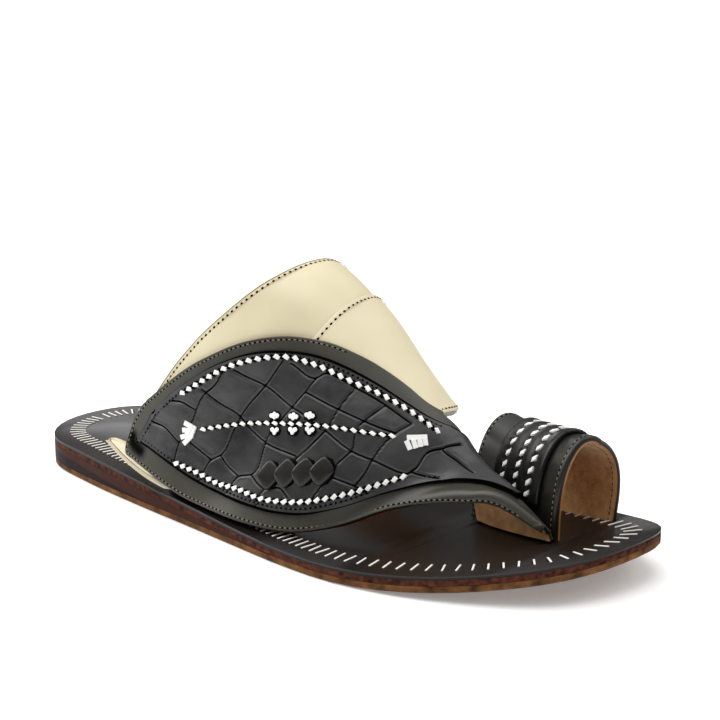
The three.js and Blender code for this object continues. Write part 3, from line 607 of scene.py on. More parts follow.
# Seams: inset from the edge, spacing and thread width in mm, and their run as shares of the edge
SEAMS = {
    "wing_stitches": (1.9, 2.5, 0.60, 0.10, 0.94),
    "step_stitches": (1.6, 2.5, 0.55, 0.03, 0.94),
    "hem_stitches": (1.6, 2.5, 0.55, 0.03, 0.94),
    "leaf_stitches": (1.3, 2.1, 0.55, 0.02, 0.70),
    "panel_stitches": (2.2, 2.0, 0.60, 0.06, 0.86),
    "ring_front_stitches": (1.9, 2.2, 0.50, 0.02, 0.98),
    "ring_front_stitches_inside": (1.9, 2.2, 0.45, 0.02, 0.98),
    "ring_rear_stitches": (1.9, 2.2, 0.50, 0.02, 0.98),
    "ring_rear_stitches_inside": (1.9, 2.2, 0.45, 0.02, 0.98),
}
REAR, FRONT = [("rear", False)], [("front", False)]
REAR_AND_TOP = [("low", True), ("rear", False), ("high", False)]


def seam(name, points, sides, lift, thread):
    """Row of small thread floats along a grid's edge, with a dark hole between each two."""
    *sizes, low, high = SEAMS[name]
    inset, pitch, wide = (size * MM for size in sizes)
    spots = border(points, sides, inset, lift, pitch, low, high)
    scatter(name, lambda: pill(0.60 * pitch, wide, 0.6 * wide), spots, [thread])
    holes = [spot @ Matrix.Translation((pitch / 2, 0, 0)) for spot in spots]
    scatter(name + "_holes", lambda: pill(0.50 * pitch, 1.5 * wide, 0.35 * wide), holes, [SLIT_AND_PAINTED_SHADE])


# Materials
def set_inputs(node, values):
    """Gives a node's inputs their values, or links them to the outputs given."""
    for key, value in values.items():
        if isinstance(value, bpy.types.NodeSocket):
            node.id_data.links.new(value, node.inputs[key])
        else:
            node.inputs[key].default_value = value


def add_node(tree, kind, values, **settings):
    node = tree.nodes.new("ShaderNode" + kind)
    for key, value in settings.items():
        setattr(node, key, value)
    set_inputs(node, values)
    return node


def new_material(name):
    material = bpy.data.materials.new(name)
    material.use_nodes = True
    tree = material.node_tree
    return material, tree, tree.nodes["Principled BSDF"]


def leather_grain():
    """Group: fine pebbled grain with pores, and a soft cloud for colour, by object coordinates."""
    group = bpy.data.node_groups.new("leather_grain", "ShaderNodeTree")
    for name, way, kind in (
        ("Scale", "INPUT", "Float"), ("Cloud Scale", "INPUT", "Float"), ("Vector", "INPUT", "Vector"),
        ("Height", "OUTPUT", "Float"), ("Cloud", "OUTPUT", "Float"),
    ):
        group.interface.new_socket(name, in_out=way, socket_type="NodeSocket" + kind)
    start = group.nodes.new("NodeGroupInput").outputs
    end = group.nodes.new("NodeGroupOutput")
    at = {"Vector": start["Vector"]}
    cells = add_node(group, "TexVoronoi", {**at, "Scale": start["Scale"]}, feature="F1")
    coarser = add_node(group, "Math", {0: start["Scale"], 1: 0.35}, operation="MULTIPLY").outputs[0]
    noise = add_node(group, "TexNoise", {**at, "Scale": coarser, "Detail": 4.0, "Roughness": 0.6})
    pebbles = {"Factor": 0.45, 2: cells.outputs["Distance"], 3: noise.outputs["Fac"]}
    height = add_node(group, "Mix", pebbles, data_type="FLOAT").outputs[0]
    clouds = {**at, "Scale": start["Cloud Scale"], "Detail": 3.0, "Roughness": 0.55}
    cloud = add_node(group, "TexNoise", clouds).outputs["Fac"]
    wider = add_node(group, "MapRange", {"Value": cloud, "From Min": 0.3, "From Max": 0.7})
    set_inputs(end, {"Height": height, "Cloud": wider.outputs["Result"]})
    return group


GRAIN = leather_grain()
GRAIN_HIGH, FOLD_HIGH, GLOSS_RANGE = 0.15 * MM, 0.6 * MM, 0.06


def leather(name, dark, light, rough, grain=900.0, depth=0.25, cloud=40.0, sheen=0.0, fold=0.0, shine=0.5):
    """Plain leather: two close colours mixed by a soft cloud, grain as bump and roughness.

    grain and cloud are scales, depth and fold the strengths of grain and soft folds, and shine is
    the mirror part.
    """
    material, tree, shader = new_material(name)
    at = {"Vector": add_node(tree, "TexCoord", {}).outputs["Object"]}
    grained = add_node(tree, "Group", {}, node_tree=GRAIN)
    set_inputs(grained, {**at, "Scale": grain, "Cloud Scale": cloud})
    height, mottle = grained.outputs["Height"], grained.outputs["Cloud"]
    colour = add_node(tree, "Mix", {}, data_type="RGBA")
    set_inputs(colour, {"Factor": mottle, 6: (*dark, 1), 7: (*light, 1)})
    bump = add_node(tree, "Bump", {"Strength": depth, "Distance": GRAIN_HIGH, "Height": height})
    if fold:
        folds = {**at, "Scale": 90.0, "Detail": 2.0, "Roughness": 0.5, "Distortion": 0.6}
        waves = add_node(tree, "TexNoise", folds).outputs["Fac"]
        soft = add_node(tree, "Bump", {"Strength": fold, "Distance": FOLD_HIGH, "Height": waves})
        set_inputs(bump, {"Normal": soft.outputs["Normal"]})
    ends = {"Value": mottle, "To Min": rough - GLOSS_RANGE, "To Max": rough + GLOSS_RANGE}
    gloss = add_node(tree, "MapRange", ends)
    set_inputs(shader, {
        "Base Color": colour.outputs[2], "Roughness": gloss.outputs["Result"],
        "Normal": bump.outputs["Normal"], "Sheen Weight": sheen, "Specular IOR Level": shine,
    })
    return material


def attribute_mask(tree, attribute, low, high, start=0.0, end=1.0):
    """Output that runs softly from start to end as an attribute goes from low to high."""
    value = add_node(tree, "Attribute", {}, attribute_name=attribute).outputs["Fac"]
    ends = {"Value": value, "From Min": low, "From Max": high, "To Min": start, "To Max": end}
    return add_node(tree, "MapRange", ends, interpolation_type="SMOOTHSTEP").outputs["Result"]


def by_attribute(material, attribute, low, high, colour):
    """Mixes another colour into a leather as an attribute goes from low to high."""
    tree = material.node_tree
    shader = tree.nodes["Principled BSDF"]
    before = shader.inputs["Base Color"].links[0].from_socket
    mix = add_node(tree, "Mix", {}, data_type="RGBA")
    set_inputs(mix, {"Factor": attribute_mask(tree, attribute, low, high), 6: before, 7: (*colour, 1)})
    set_inputs(shader, {"Base Color": mix.outputs[2]})


def dim_shine(material, attribute, low, high):
    """Takes the mirror part away as an attribute goes from low to high."""
    tree = material.node_tree
    shader = tree.nodes["Principled BSDF"]
    shine = shader.inputs["Specular IOR Level"]
    before = shine.links[0].from_socket if shine.links else shine.default_value
    mask = attribute_mask(tree, attribute, low, high, 1.0, 0.0)
    product = add_node(tree, "Math", {0: mask, 1: before}, operation="MULTIPLY")
    set_inputs(shader, {"Specular IOR Level": product.outputs[0]})


CREAM, WING_FACE = (
    leather(name, (0.71, 0.63, 0.42), (0.77, 0.69, 0.47), 0.42, depth=0.10, cloud=25.0, fold=0.1)
    for name in ("cream_leather", "cream_wing")
)
# Painted shade: the wing's face is darkened on its lower ply, between the low edge and the groove between its
# plies.
by_attribute(WING_FACE, "low_ply", -0.2, 0.2, (0.55, 0.49, 0.34))
by_attribute(WING_FACE, "ply", 0.40, 0.16, (0.15, 0.045, 0.02))
CREAM_EDGE = leather("cream_cut_edge", (0.58, 0.50, 0.30), (0.70, 0.63, 0.42), 0.5, grain=700, depth=0.2)
by_attribute(CREAM_EDGE, "depth", 0.40, 0.47, (0.16, 0.045, 0.02))
by_attribute(CREAM_EDGE, "depth", 0.53, 0.60, (0.66, 0.58, 0.37))
STRAP = leather(
    "strap_leather", (0.034, 0.032, 0.022), (0.046, 0.044, 0.032), 0.40, depth=0.12, cloud=30.0, fold=0.08,
)
# Painted shade: the strap is darkened and loses its mirror part near the fold beside the wing's foot.
by_attribute(STRAP, "fold", 5.0, 1.0, (0.004, 0.004, 0.003))
dim_shine(STRAP, "fold", 5.0, 1.0)
PAD = leather("plait_leather", (0.006, 0.0055, 0.004), (0.013, 0.012, 0.009), 0.30, depth=0.1, shine=0.45)
STRAP_EDGE = leather("strap_edge", (0.010, 0.009, 0.007), (0.016, 0.014, 0.011), 0.32, depth=0.1, shine=0.12)
by_attribute(STRAP_EDGE, "depth", 0.55, 0.66, (0.36, 0.15, 0.05))
BLACK_EDGE = leather("black_edge", (0.008, 0.008, 0.007), (0.014, 0.013, 0.012), 0.32, depth=0.1, shine=0.12)
RING = leather(
    "ring_leather", (0.007, 0.007, 0.005), (0.016, 0.0155, 0.012), 0.34,
    depth=0.1, cloud=30.0, fold=0.1, shine=0.42,
)
BAND = leather(
    "band_leather", (0.003, 0.003, 0.0028), (0.008, 0.0075, 0.007), 0.32, depth=0.12, cloud=60.0, shine=0.30,
)
LINING = leather(
    "suede_lining", (0.42, 0.205, 0.07), (0.66, 0.36, 0.14), 0.85, depth=0.9, cloud=260, sheen=0.2,
)
INSOLE = leather(
    "insole_leather", (0.0035, 0.003, 0.003), (0.01, 0.0065, 0.005), 0.36, depth=0.05, cloud=14, shine=0.22,
)
OUTSOLE, MIDSOLE, WEDGE = (
    leather(name, dark, light, rough, grain=grain, depth=depth, cloud=cloud, shine=0.05)
    for name, dark, light, rough, grain, depth, cloud in (
        ("outsole_edge", (0.035, 0.015, 0.007), (0.22, 0.098, 0.035), 0.6, 500, 0.5, 150.0),
        ("midsole_edge", (0.012, 0.006, 0.005), (0.115, 0.034, 0.019), 0.65, 700, 0.6, 420.0),
        ("wedge_edge", (0.007, 0.004, 0.004), (0.022, 0.011, 0.010), 0.5, 500, 0.4, 120.0),
    )
)
by_attribute(WEDGE, "stain", -0.35, 0.35, (0.042, 0.014, 0.0095))
CROC = leather(
    "embossed_leather", (0.012, 0.012, 0.0125), (0.040, 0.040, 0.041), 0.36, depth=0.20, cloud=60.0, fold=0.8,
)
# Painted shade: the embossed creases, and the band along the panel's rim, are darkened to near black and lose
# their mirror part.
by_attribute(CROC, "crease", 0.50, 0.18, (0.0008, 0.0008, 0.0008))
by_attribute(CROC, "edge", 1.5, 1.1, (0.0015, 0.0015, 0.0015))
dim_shine(CROC, "crease", 0.50, 0.18)
dim_shine(CROC, "edge", 1.5, 1.1)
LACE = leather("white_lace", (0.88, 0.87, 0.84), (0.93, 0.92, 0.90), 0.45, depth=0.1)
# Near-black matte: stitch holes and slits, and the painted shade tiles under the laces, rosettes and plait
# cushions.
SLIT_AND_PAINTED_SHADE = leather("dark_slit_and_painted_shade", (0.0010, 0.0010, 0.0010), (0.0022, 0.0020, 0.0018), 0.8, shine=0.05)
THREAD_OLIVE, THREAD_BLACK, THREAD_CREAM, THREAD_WHITE = (
    leather(name, dark, light, rough) for name, dark, light, rough in (
        ("olive_thread", (0.15, 0.135, 0.085), (0.20, 0.18, 0.12), 0.6),
        ("black_thread", (0.016, 0.016, 0.015), (0.022, 0.022, 0.020), 0.5),
        ("cream_thread", (0.60, 0.52, 0.34), (0.68, 0.60, 0.40), 0.5),
        ("white_thread", (0.72, 0.70, 0.64), (0.80, 0.78, 0.72), 0.5),
    )
)


# Sole: corners stay sharp from this angle, and the heel's dark foot has this height and run
SOLE_CORNER = math.radians(32)
STAIN_HIGH, STAIN_START, STAIN_END = 5.0 * MM, -35 * MM, 66 * MM


def sole():
    for name, node, material in (
        ("outsole_look", "outsole", OUTSOLE),
        ("midsole_look", "midsole", MIDSOLE),
        ("insole_look", "insole", INSOLE),
        ("heel_wedge_look", "heel_wedge", WEDGE),
    ):
        obj = copy_of_node(name, node, [material])
        obj.data.set_sharp_from_angle(angle=SOLE_CORNER)
    stain = obj.data.attributes.new("stain", "FLOAT", "POINT")
    for vert in obj.data.vertices:
        high = STAIN_HIGH * smooth((STAIN_END - vert.co.x) / (STAIN_END - STAIN_START))
        above = vert.co.z - OUTSOLE_THICK - high
        stain.data[vert.index].value = float(above / MM)


def sole_edge(inset):
    """Line round the insole's rim at an inset, from the heel along the little-toe side and back."""
    rows = []
    for at, little, big in OUTLINE:
        width = HEEL_WIDTH if at <= HEEL_TO else BALL_WIDTH
        rows.append((math.acos(1 - 2 * at), little * width, big * width))
    angle = steps(0, math.pi, 240)
    x = place_at((1 - np.cos(angle)) / 2)
    little_out, big_out = curves(rows)
    little = np.stack([x, -little_out(angle)], axis=1)
    big = np.stack([x, big_out(angle)], axis=1)
    ring = np.concatenate([little, big[::-1]])
    tangent = np.roll(ring, -2, axis=0) - np.roll(ring, 2, axis=0)
    tangent /= np.linalg.norm(tangent, axis=1, keepdims=True)
    inward = np.stack([-tangent[:, 1], tangent[:, 0]], axis=1)
    return ring + inward * inset, inward


# Whip stitches: the inset of their row and their size, spacing at the heel and the toe, where it
# widens, the first one's place and their lean in degrees, then their slits
WHIP_INSET, WHIP_LONG, WHIP_WIDE, WHIP_HIGH = 10.2 * MM, 6.8 * MM, 0.7 * MM, 0.6 * MM
WHIP_HEEL, WHIP_TOE, WIDEN_FROM, WIDEN_OVER = 3.2 * MM, 5.3 * MM, 0.58, 0.16
WHIP_START, WHIP_LEAN = 2 * MM, 5
SLIT_BESIDE, SLIT_SUNK, SLIT_WIDE, SLIT_HIGH = 0.75 * MM, 0.08 * MM, 0.8 * MM, 0.25 * MM


def whip_stitches():
    """White stitches across the rim of the insole, each beside its slit, closer together at the heel."""
    ring, inward = sole_edge(WHIP_INSET)
    lengths = line_run(ring)
    at, spots, slits = WHIP_START, [], []
    chance = random.Random(5)
    while at < lengths[-1] - WHIP_START:
        x, y = (np.interp(at, lengths, ring[:, k]) for k in range(2))
        toward = Vector([np.interp(at, lengths, inward[:, k]) for k in range(2)] + [0])
        share = (x + HEEL_CENTRE) / LENGTH
        lean = Matrix.Rotation(math.radians(chance.uniform(-WHIP_LEAN, WHIP_LEAN)), 3, "Z")
        place = Vector((x, y, float(insole_top(x))))
        slope = (float(insole_top(x + MM)) - float(insole_top(x - MM))) / (2 * MM)
        normal = Vector((-slope, 0, 1))
        spot = frame_matrix(place, lean @ toward, normal)
        spots.append(spot)
        slits.append(spot @ Matrix.Translation((0, SLIT_BESIDE, -SLIT_SUNK)))
        at += WHIP_HEEL + (WHIP_TOE - WHIP_HEEL) * float(smooth((share - WIDEN_FROM) / WIDEN_OVER))
    scatter("whip_stitches", lambda: tile(WHIP_LONG, WHIP_WIDE, WHIP_HIGH, bar=True), spots, [THREAD_WHITE])
    scatter("whip_slits", lambda: pill(WHIP_LONG * 1.1, SLIT_WIDE, SLIT_HIGH), slits, [SLIT_AND_PAINTED_SHADE])


# Wing: rounds of its rims, the inset, depth and half width of the groove between its plies, how it
# runs on along the rear edge, and how far past the big-toe foot its leg goes into the slot
WING_RIM, FRONT_RIM, FRONT_SUNK = 0.5 * MM, 0.35 * MM, 0.2 * MM
PLY_INSET, PLY_DEEP, PLY_WIDE = 2.6 * MM, 0.45 * MM, 0.35 * MM
PLY_REAR_PULL, PLY_REAR_OFF = 3, 1.2 * MM
WING_LEG = (1.45, 2.0)

# Soft folds of the wing: u and s of both ends, half width and depth
WING_FOLDS = [
    (0.05, 0.40, 0.80, 0.52, 7 * MM, 0.5 * MM),
    (0.10, 0.62, 0.90, 0.66, 9 * MM, 0.6 * MM),
    (0.30, 0.46, 0.95, 0.56, 5 * MM, 0.3 * MM),
    (0.02, 0.28, 0.45, 0.36, 6 * MM, 0.35 * MM),
]


def wing_folds(points):
    """How far the wing's face dips at each grid point: a soft trough along each fold."""
    dip = np.zeros(points.shape[:2])
    for u0, s0, u1, s1, wide, deep in WING_FOLDS:
        run = instep(np.linspace(u0, u1, 24), np.linspace(s0, s1, 24))
        dip -= deep * np.exp(-(run_distance(points, run) / wide) ** 2)
    return dip


def wing():
    shares = np.concatenate([steps(0, CORNER_TO, 110), steps(CORNER_TO, 1, 90)[1:]])
    f = steps(0, 1, 50)[:, None]
    low = np.maximum(WING_LOW(f), 0)
    start = np.maximum(WING_FROM(shares), 0)[None, :]
    s = low + shares[None, :] * (1 - low)
    end = np.minimum(HEM_AT(shares), 1)[None, :]
    u = start + (end - start) * f
    line = np.concatenate([instep(u, s), instep(f * HEM_AT(1.0), np.array(WING_LEG)[None, :])], axis=1)
    points, drop = rimmed(line, WING_RIM)
    dip = wing_folds(points)
    low_edge, rear_edge = grid_run(points, 1), grid_run(points, 0)
    off_line = np.abs(np.minimum(low_edge, rear_edge * PLY_REAR_PULL + PLY_REAR_OFF) - PLY_INSET)
    dip = dip - PLY_DEEP * np.exp(-((off_line / PLY_WIDE) ** 2))
    obj = shell(
        "wing", points, dip - drop, dip - WING_THICK + drop, [WING_FACE, LINING, CREAM_EDGE],
        attributes={"ply": off_line / MM, "low_ply": (PLY_INSET - low_edge) / MM},
    )
    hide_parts("upper")
    seam("wing_stitches", points, REAR, 0, THREAD_CREAM)
    ss = steps(STEP_BORDER[0][0], 1, 80)[None, :]
    start, end = STEP_FROM(ss), np.minimum(HEM_AT(ss), 1)
    front = instep(start + (end - start) * steps(0, 1, 40)[:, None], ss)
    points, drop = rimmed(front, FRONT_RIM)
    dip = wing_folds(points)
    shell("wing_front", points, WING_STEP + dip - drop, dip - FRONT_SUNK, [CREAM, CREAM, CREAM_EDGE])
    for name, side in (("step_stitches", REAR), ("hem_stitches", FRONT)):
        seam(name, points, side, WING_STEP - 0.1 * MM, THREAD_CREAM)


# Leaf strap, with the (u, s) places of its fold beside the wing's foot, where shade is painted dark on the
# strap
SHADED_FOLD = [(0.125, 0.035), (0.145, 0.030), (0.165, 0.028), (0.185, 0.028), (0.205, 0.028)]
LEAF_RIM, LEAF_SUNK = 0.6 * MM, 0.3 * MM


def leaf():
    u = np.concatenate([steps(LEAF_BORDER[0][0], 0.16, 30), steps(0.16, 2.0, 130)[1:]])[:, None]
    points, drop = rimmed(patch(LEAF_LOW, LEAF_HIGH, u, 90), LEAF_RIM)
    # Distance from the fold, where the painted shade lies
    fold = instep(*(np.array(side) for side in zip(*SHADED_FOLD)))
    gap = run_distance(points, fold)
    faces = [STRAP, LINING, STRAP_EDGE]
    shell("leaf", points, LEAF_THICK - drop, -LEAF_SUNK, faces, attributes={"fold": gap / MM})
    seam("leaf_stitches", points, REAR_AND_TOP, LEAF_THICK, THREAD_OLIVE)


# Vamp panel: its rim, and the embossing's creases, the ridge beside each and the pillows between
PANEL_RIM = 0.8 * MM
CREASE_DEEP, CREASE_WIDE = 0.55 * MM, 0.36 * MM
RIDGE_HIGH, RIDGE_AT, RIDGE_WIDE = 0.16 * MM, 0.95 * MM, 0.35 * MM
PILLOW_HIGH, PILLOW_WIDE, PILLOW_SUNK = 0.50 * MM, 3.5 * MM, 0.30 * MM
# Relief stops where a rim drops by this much, on the panel and on the ring's band
FLAT_FACE, BAND_FACE = 0.02 * MM, 0.05 * MM
PANEL_BASE = LEAF_THICK + FIT
ON_PANEL = PANEL_BASE + PANEL_THICK


def crease_distance(points):
    """Distance in metres from each grid point to the nearest embossed crease."""
    flat = points.reshape(-1, 3)
    best = np.full(len(flat), 1.0)
    for pairs in CREASES:
        u, s = path_of(pairs, 40)
        run = leaf_form(u, s)
        for start, step in zip(run[:-1], np.diff(run, axis=0)):
            t = np.clip(((flat - start) @ step) / (step @ step), 0, 1)
            gap = np.linalg.norm(flat - start - t[:, None] * step, axis=1)
            best = np.minimum(best, gap)
    return best.reshape(points.shape[:2])


def vamp_panel():
    first, last = PANEL_BORDER[0][0], PANEL_BORDER[-1][0]
    u = np.concatenate([steps(first, 0.20, 30), steps(0.20, last, 255)[1:]])[:, None]
    points, drop = rimmed(patch(PANEL_LOW, PANEL_HIGH, u, 152), PANEL_RIM)
    distance = crease_distance(points)
    groove = CREASE_DEEP * np.exp(-((distance / CREASE_WIDE) ** 2))
    ridge = RIDGE_HIGH * np.exp(-(((distance - RIDGE_AT) / RIDGE_WIDE) ** 2))
    pillow = PILLOW_HIGH * (1 - np.exp(-distance / PILLOW_WIDE))
    shape = (ridge - groove + pillow - PILLOW_SUNK) * (drop < FLAT_FACE)
    obj = shell(
        "vamp_panel_look", points, ON_PANEL + shape - drop, PANEL_BASE, [CROC, CROC, BLACK_EDGE],
        attributes={"crease": distance / MM, "edge": rim_distance(points) / MM},
    )
    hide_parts("vamp_panel")
    seam("panel_stitches", points, REAR_AND_TOP, ON_PANEL + 0.1 * MM, THREAD_BLACK)


def place_on_panel(u, s, toward_u, toward_s, lift):
    """Frame on the panel's face at (u, s), with X towards another place."""
    here, there = (leaf_form(np.array([a]), np.array([b]))[0] for a, b in ((u, s), (toward_u, toward_s)))
    normal = form_normal(leaf_form, np.array([u]), np.array([s]))[0]
    return frame_matrix(here + normal * lift, there - here, normal), float(np.linalg.norm(there - here))


# Laces on the panel: name, path, diamonds, their length and width, and lean
LACES = [
    ("lace_upper", LACE_UPPER, 31, 3.5 * MM, 2.6 * MM, -0.35),
    ("lace_lower", LACE_LOWER, 31, 3.4 * MM, 2.6 * MM, 0.35),
    ("lace_middle", LACE_MIDDLE, 23, 3.4 * MM, 2.1 * MM, -0.5),
]
# Petals of the rosettes: turn in degrees, distance out and length in mm
PETALS_UPPER = [(10, 1.25, 2.2), (90, 0.75, 2.2), (170, 1.25, 2.2), (270, 0.3, 2.2)]
PETALS_LOWER = [(25, 1.1, 2.3), (155, 1.1, 2.3), (270, 0.5, 2.4)]
PETAL_LONG, PETAL_WIDE, PETAL_HIGH = 2.4 * MM, 2.1 * MM, 0.9 * MM
ROSETTE_TOWARD, ROSETTE_SHADE = (0.03, 0.012), (5.8 * MM, 4.4 * MM, 0.4 * MM)
LACE_LIFT, LACE_HIGH, SHADE_TILE_HIGH = 0.3 * MM, 0.7 * MM, 0.5 * MM


def lacing():
    for name, pairs, count, long, wide, lean in LACES:
        u, s = path_of(pairs)
        spots = on_form(leaf_form, u, s, ON_PANEL + LACE_LIFT, 2 * count - 1)
        scatter(name, lambda: tile(long, wide, LACE_HIGH, lean=lean), spots[::2], [LACE])
        # Dark tiles between the white diamonds are painted shade.
        scatter(name + "_shade_tiles", lambda: tile(long, wide, SHADE_TILE_HIGH, lean=lean), spots[1::2], [SLIT_AND_PAINTED_SHADE])
    for name, places, petals in (
        ("rosettes_upper", ROSETTES[:3], PETALS_UPPER),
        ("rosettes_lower", ROSETTES[3:], PETALS_LOWER),
    ):
        spots, shades = [], []
        for u, s in places:
            toward_u, toward_s = u + ROSETTE_TOWARD[0], s + ROSETTE_TOWARD[1]
            spot, _ = place_on_panel(u, s, toward_u, toward_s, ON_PANEL + LACE_LIFT)
            for turn, out, long in petals:
                turned = spot @ Matrix.Rotation(math.radians(turn), 4, "Z")
                stretch = Matrix.Diagonal((long * MM / PETAL_LONG, 1, 1, 1))
                spots.append(turned @ Matrix.Translation((out * MM, 0, 0)) @ stretch)
            shades.append(spot)
        scatter(name, lambda: pill(PETAL_LONG, PETAL_WIDE, PETAL_HIGH, segments=12), spots, [LACE])
        # A dark tile under each rosette is painted shade.
        scatter(name + "_shade_tiles", lambda: tile(*ROSETTE_SHADE, sides=8), shades, [SLIT_AND_PAINTED_SHADE])


# Fans at the ends of the middle lacing: each bar from one (u, s) place to another
REAR_FAN = [
    (0.362, 0.106, 0.296, 0.103), (0.364, 0.103, 0.312, 0.093), (0.366, 0.099, 0.33, 0.083),
    (0.368, 0.096, 0.362, 0.078), (0.33, 0.108, 0.352, 0.086),
]
FRONT_FAN = [
    (1.028, 0.38, 1.088, 0.423), (1.036, 0.378, 1.1, 0.366), (1.05, 0.392, 1.112, 0.378),
    (1.066, 0.404, 1.121, 0.389), (1.08, 0.415, 1.131, 0.401),
]
BAR_WIDE, BAR_HIGH, BAR_LIFT, BAR_STEP = 1.9 * MM, 0.8 * MM, 0.15 * MM, 0.06 * MM


def fans():
    for name, bars in (("rear_fan", REAR_FAN), ("front_fan", FRONT_FAN)):
        bm = bmesh.new()
        for k, (u0, s0, u1, s1) in enumerate(bars):
            middle_u, middle_s = (u0 + u1) / 2, (s0 + s1) / 2
            spot, half = place_on_panel(middle_u, middle_s, u1, s1, ON_PANEL + BAR_LIFT + BAR_STEP * k)
            bar = tile(2 * half, BAR_WIDE, BAR_HIGH, bar=True)
            bmesh.ops.transform(bar, matrix=spot, verts=bar.verts[:])
            join_into(bm, bar)
        finish_mesh(name, bm, materials=[LACE])


# Toe ring and its band: rims, raised strips and lace rows as shares across the band, each with its
# half width and height, then the waves of a row's edges, where a row starts, ends and lies, and the
# laces' number, size, turn and lean
RING_RIM, BAND_RIM = 1.0 * MM, 0.5 * MM
BAND_STRIPS, STRIP_WIDE, STRIP_HIGH = (0.08, 0.335, 0.605, 0.90), 0.075, 0.35 * MM
LACE_ROWS, ROW_WIDE, ROW_DEEP = (0.20, 0.47, 0.74), 0.035, 0.75 * MM
ROW_WAVES, ROW_WAVE, ROW_FROM, ROW_OFFSET, ROW_TO, ROW_SUNK = 22, 0.012, 0.13, 0.015, 0.90, 0.3 * MM
RING_LACES, RING_LACE_SIZE, RING_LACE_TURN, RING_LACE_LEAN = 16, (4.2 * MM, 2.3 * MM, 1.0 * MM), -28, -0.3


def toe_ring():
    qs = np.concatenate([[-1], steps(0, 1, 120), [2]])[None, :]
    t = steps(0, 1, 50)[:, None]
    points, drop = rimmed(hoop(t, qs), RING_RIM)
    obj = shell("toe_ring_look", points, RING_THICK - drop, 0, [RING, LINING, STRAP_EDGE])
    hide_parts("toe_ring")
    for name, side in (("ring_front_stitches", FRONT), ("ring_rear_stitches", REAR)):
        seam(name, points, side, RING_THICK, THREAD_OLIVE)
        seam(name + "_inside", points, side, 0, THREAD_OLIVE)


def ring_band():
    across = steps(0, 1, 70)
    t = (BAND_FROM + (BAND_TO - BAND_FROM) * across)[:, None]
    qs = steps(BAND_LOW, BAND_HIGH, 90)[None, :]
    points, drop = rimmed(hoop(t, qs), BAND_RIM)
    rows, cols = points.shape[:2]
    share = np.linspace(0, 1, rows)[:, None]
    swell = sum(np.exp(-((share - c) / STRIP_WIDE) ** 2) for c in BAND_STRIPS)
    wave = ROW_WAVE * np.sin(np.linspace(0, 2 * ROW_WAVES * math.pi, cols))[None, :]
    groove = sum(np.exp(-((share + wave - c) / ROW_WIDE) ** 2) for c in LACE_ROWS)
    base = RING_THICK + FIT
    top = base + BAND_THICK + (STRIP_HIGH * swell - ROW_DEEP * groove) * (drop < BAND_FACE)
    obj = shell("ring_band_look", points, top - drop, base, [BAND, BAND, BLACK_EDGE])
    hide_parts("ring_band")
    spots = []
    for k, row in enumerate(LACE_ROWS):
        t_row = BAND_FROM + (BAND_TO - BAND_FROM) * row
        q = steps(ROW_FROM + ROW_OFFSET * (k % 2), ROW_TO, 200)
        spots += on_form(hoop, np.full_like(q, t_row), q, base + BAND_THICK - ROW_SUNK, RING_LACES)
    turned = [spot @ Matrix.Rotation(math.radians(RING_LACE_TURN), 4, "Z") for spot in spots]
    scatter("ring_lace", lambda: tile(*RING_LACE_SIZE, lean=RING_LACE_LEAN), turned, [LACE])


# Plait on the panel: four cushions of folded strip, each lapping over the one behind it. A cushion
# has a half length, slant, half width, half height and fall in mm, and a power for its round
PLAIT = [(0.788, 0.124), (0.836, 0.148), (0.883, 0.172), (0.928, 0.198)]
PLAIT_TOWARD, PLAIT_LIFT = (0.047, 0.0245), 0.55 * MM
# A dark tile, a little larger than a cushion and sunk under it, is painted shade round each cushion
PLAIT_SHADE, SHADE_ON, SHADE_SUNK = (9.6 * MM, 11.2 * MM, 0.5 * MM), 0.3 * MM, 0.35 * MM
CUSHION_LONG, CUSHION_SLANT, CUSHION_WIDE, CUSHION_HIGH, CUSHION_FALL = 4.6, 1.1, 5.5, 1.5, 0.9
CUSHION_ROUND, CUSHION_SPREAD = 1.3, 1.2


def plait_cushion():
    """One cushion: a crowned plate with a rounded, slanted lozenge outline."""
    bm = bmesh.new()
    bmesh.ops.create_uvsphere(bm, u_segments=32, v_segments=16, radius=1)
    for vert in bm.verts:
        x, y, z = vert.co
        flat = max(math.hypot(x, y), 1e-6)
        angle = math.atan2(y, x)
        power = abs(math.cos(angle)) ** CUSHION_ROUND + abs(math.sin(angle)) ** CUSHION_ROUND
        grown = power ** (-1 / CUSHION_ROUND) * min(flat * CUSHION_SPREAD, 1) / flat
        x, y = x * grown, y * grown
        vert.co = (
            (CUSHION_LONG * x + CUSHION_SLANT * y) * MM, CUSHION_WIDE * y * MM,
            (CUSHION_HIGH * z - CUSHION_FALL * x) * MM,
        )
    return bm


def plait():
    spots = []
    for u, s in PLAIT:
        toward_u, toward_s = u + PLAIT_TOWARD[0], s + PLAIT_TOWARD[1]
        spot, _ = place_on_panel(u, s, toward_u, toward_s, ON_PANEL + PLAIT_LIFT)
        spots.append(spot)
    obj = scatter("plait_look", plait_cushion, spots, [PAD])
    # Painted shade: a dark tile under each cushion.
    shades = [spot @ Matrix.Translation((SHADE_ON, 0, -SHADE_SUNK)) for spot in spots]
    scatter("plait_painted_shade", lambda: tile(*PLAIT_SHADE, sides=10, lean=0.2), shades, [SLIT_AND_PAINTED_SHADE])
    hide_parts("plait")


TAB_CORNER = math.radians(40)


def side_tab():
    obj = copy_of_node("side_tab_look", "side_tab", [BLACK_EDGE])
    obj.data.set_sharp_from_angle(angle=TAB_CORNER)


sole()
whip_stitches()
wing()
leaf()
vamp_panel()
lacing()
fans()
toe_ring()
ring_band()
plait()
side_tab()


# Camera, matched to the photograph: its place in mm, the way back from its aim, and its lens in mm
CAMERA_PLACE, CAMERA_BACK = (528.18, -475.385, 228.436), (0.628425, -0.736237, 0.251072)
CAMERA_LENS, CAMERA_FILM, CAMERA_CLIP = 84.39, 36, (0.01, 20)
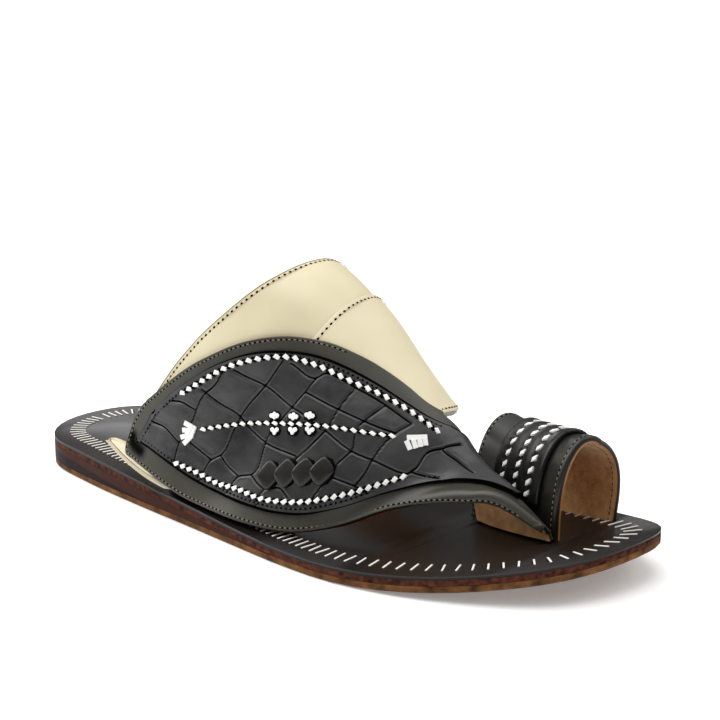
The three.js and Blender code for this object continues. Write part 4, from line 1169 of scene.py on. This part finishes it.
# Floor and sky: half the floor's side in metres, its own glow, and the sky's strength low and high
FLOOR_REACH, FLOOR_GLOW = 30, 0.22
SKY_LOW, SKY_HIGH, SKY_FROM = 0.04, 0.95, 0.10
# Lamps: name, kind, place in metres, size in metres or degrees, and power, all aimed at one place
LAMP_AIM = (100, 0, 40)
LAMPS = [
    ("overhead", "SUN", (-0.15, -0.2, 1.5), 60, 1.75),
    ("side_box", "AREA", (-1.1, -0.45, 0.85), 0.9, 12),
    ("back_box", "AREA", (0.9, 0.9, 0.9), 0.8, 4),
    ("heel_box", "AREA", (-0.80, 0.60, 0.30), 0.36, 0.8),
]


def camera():
    data = bpy.data.cameras.new("camera")
    data.lens = CAMERA_LENS
    data.sensor_width = CAMERA_FILM
    cam = add_object("camera", data)
    cam.rotation_mode = "QUATERNION"
    cam.rotation_quaternion = Vector(CAMERA_BACK).to_track_quat("Z", "Y")
    cam.location = Vector(CAMERA_PLACE) * MM
    data.clip_start, data.clip_end = CAMERA_CLIP
    bpy.context.scene.camera = cam


def floor_and_light():
    bm = bmesh.new()
    bmesh.ops.create_grid(bm, x_segments=1, y_segments=1, size=FLOOR_REACH)
    mesh = bpy.data.meshes.new("floor")
    bm.to_mesh(mesh)
    bm.free()
    floor = add_object("floor", mesh)
    material, tree, shader = new_material("white_floor")
    set_inputs(shader, {"Base Color": (0.9, 0.9, 0.9, 1), "Roughness": 0.8})
    set_inputs(shader, {"Emission Color": (1, 1, 1, 1), "Emission Strength": FLOOR_GLOW})
    mesh.materials.append(material)
    world = bpy.data.worlds.new("studio")
    bpy.context.scene.world = world
    world.use_nodes = True
    sky = world.node_tree
    toward = add_node(sky, "TexCoord", {}).outputs["Generated"]
    height = add_node(sky, "SeparateXYZ", {"Vector": toward}).outputs["Z"]
    ends = {"Value": height, "From Min": SKY_FROM, "From Max": 1.0, "To Min": SKY_LOW, "To Max": SKY_HIGH}
    climb = add_node(sky, "MapRange", ends).outputs["Result"]
    set_inputs(sky.nodes["Background"], {"Color": (1, 1, 1, 1), "Strength": climb})
    aim = Vector(LAMP_AIM) * MM
    for name, kind, place, size, power in LAMPS:
        lamp = bpy.data.lights.new(name, kind)
        lamp.energy = power
        if kind == "SUN":
            lamp.angle = math.radians(size)
        else:
            lamp.size = size
        obj = add_object(name, lamp)
        obj.location = place
        obj.rotation_mode = "QUATERNION"
        obj.rotation_quaternion = (Vector(place) - aim).to_track_quat("Z", "Y")
    bpy.context.scene.view_settings.view_transform = "Standard"


camera()
floor_and_light()
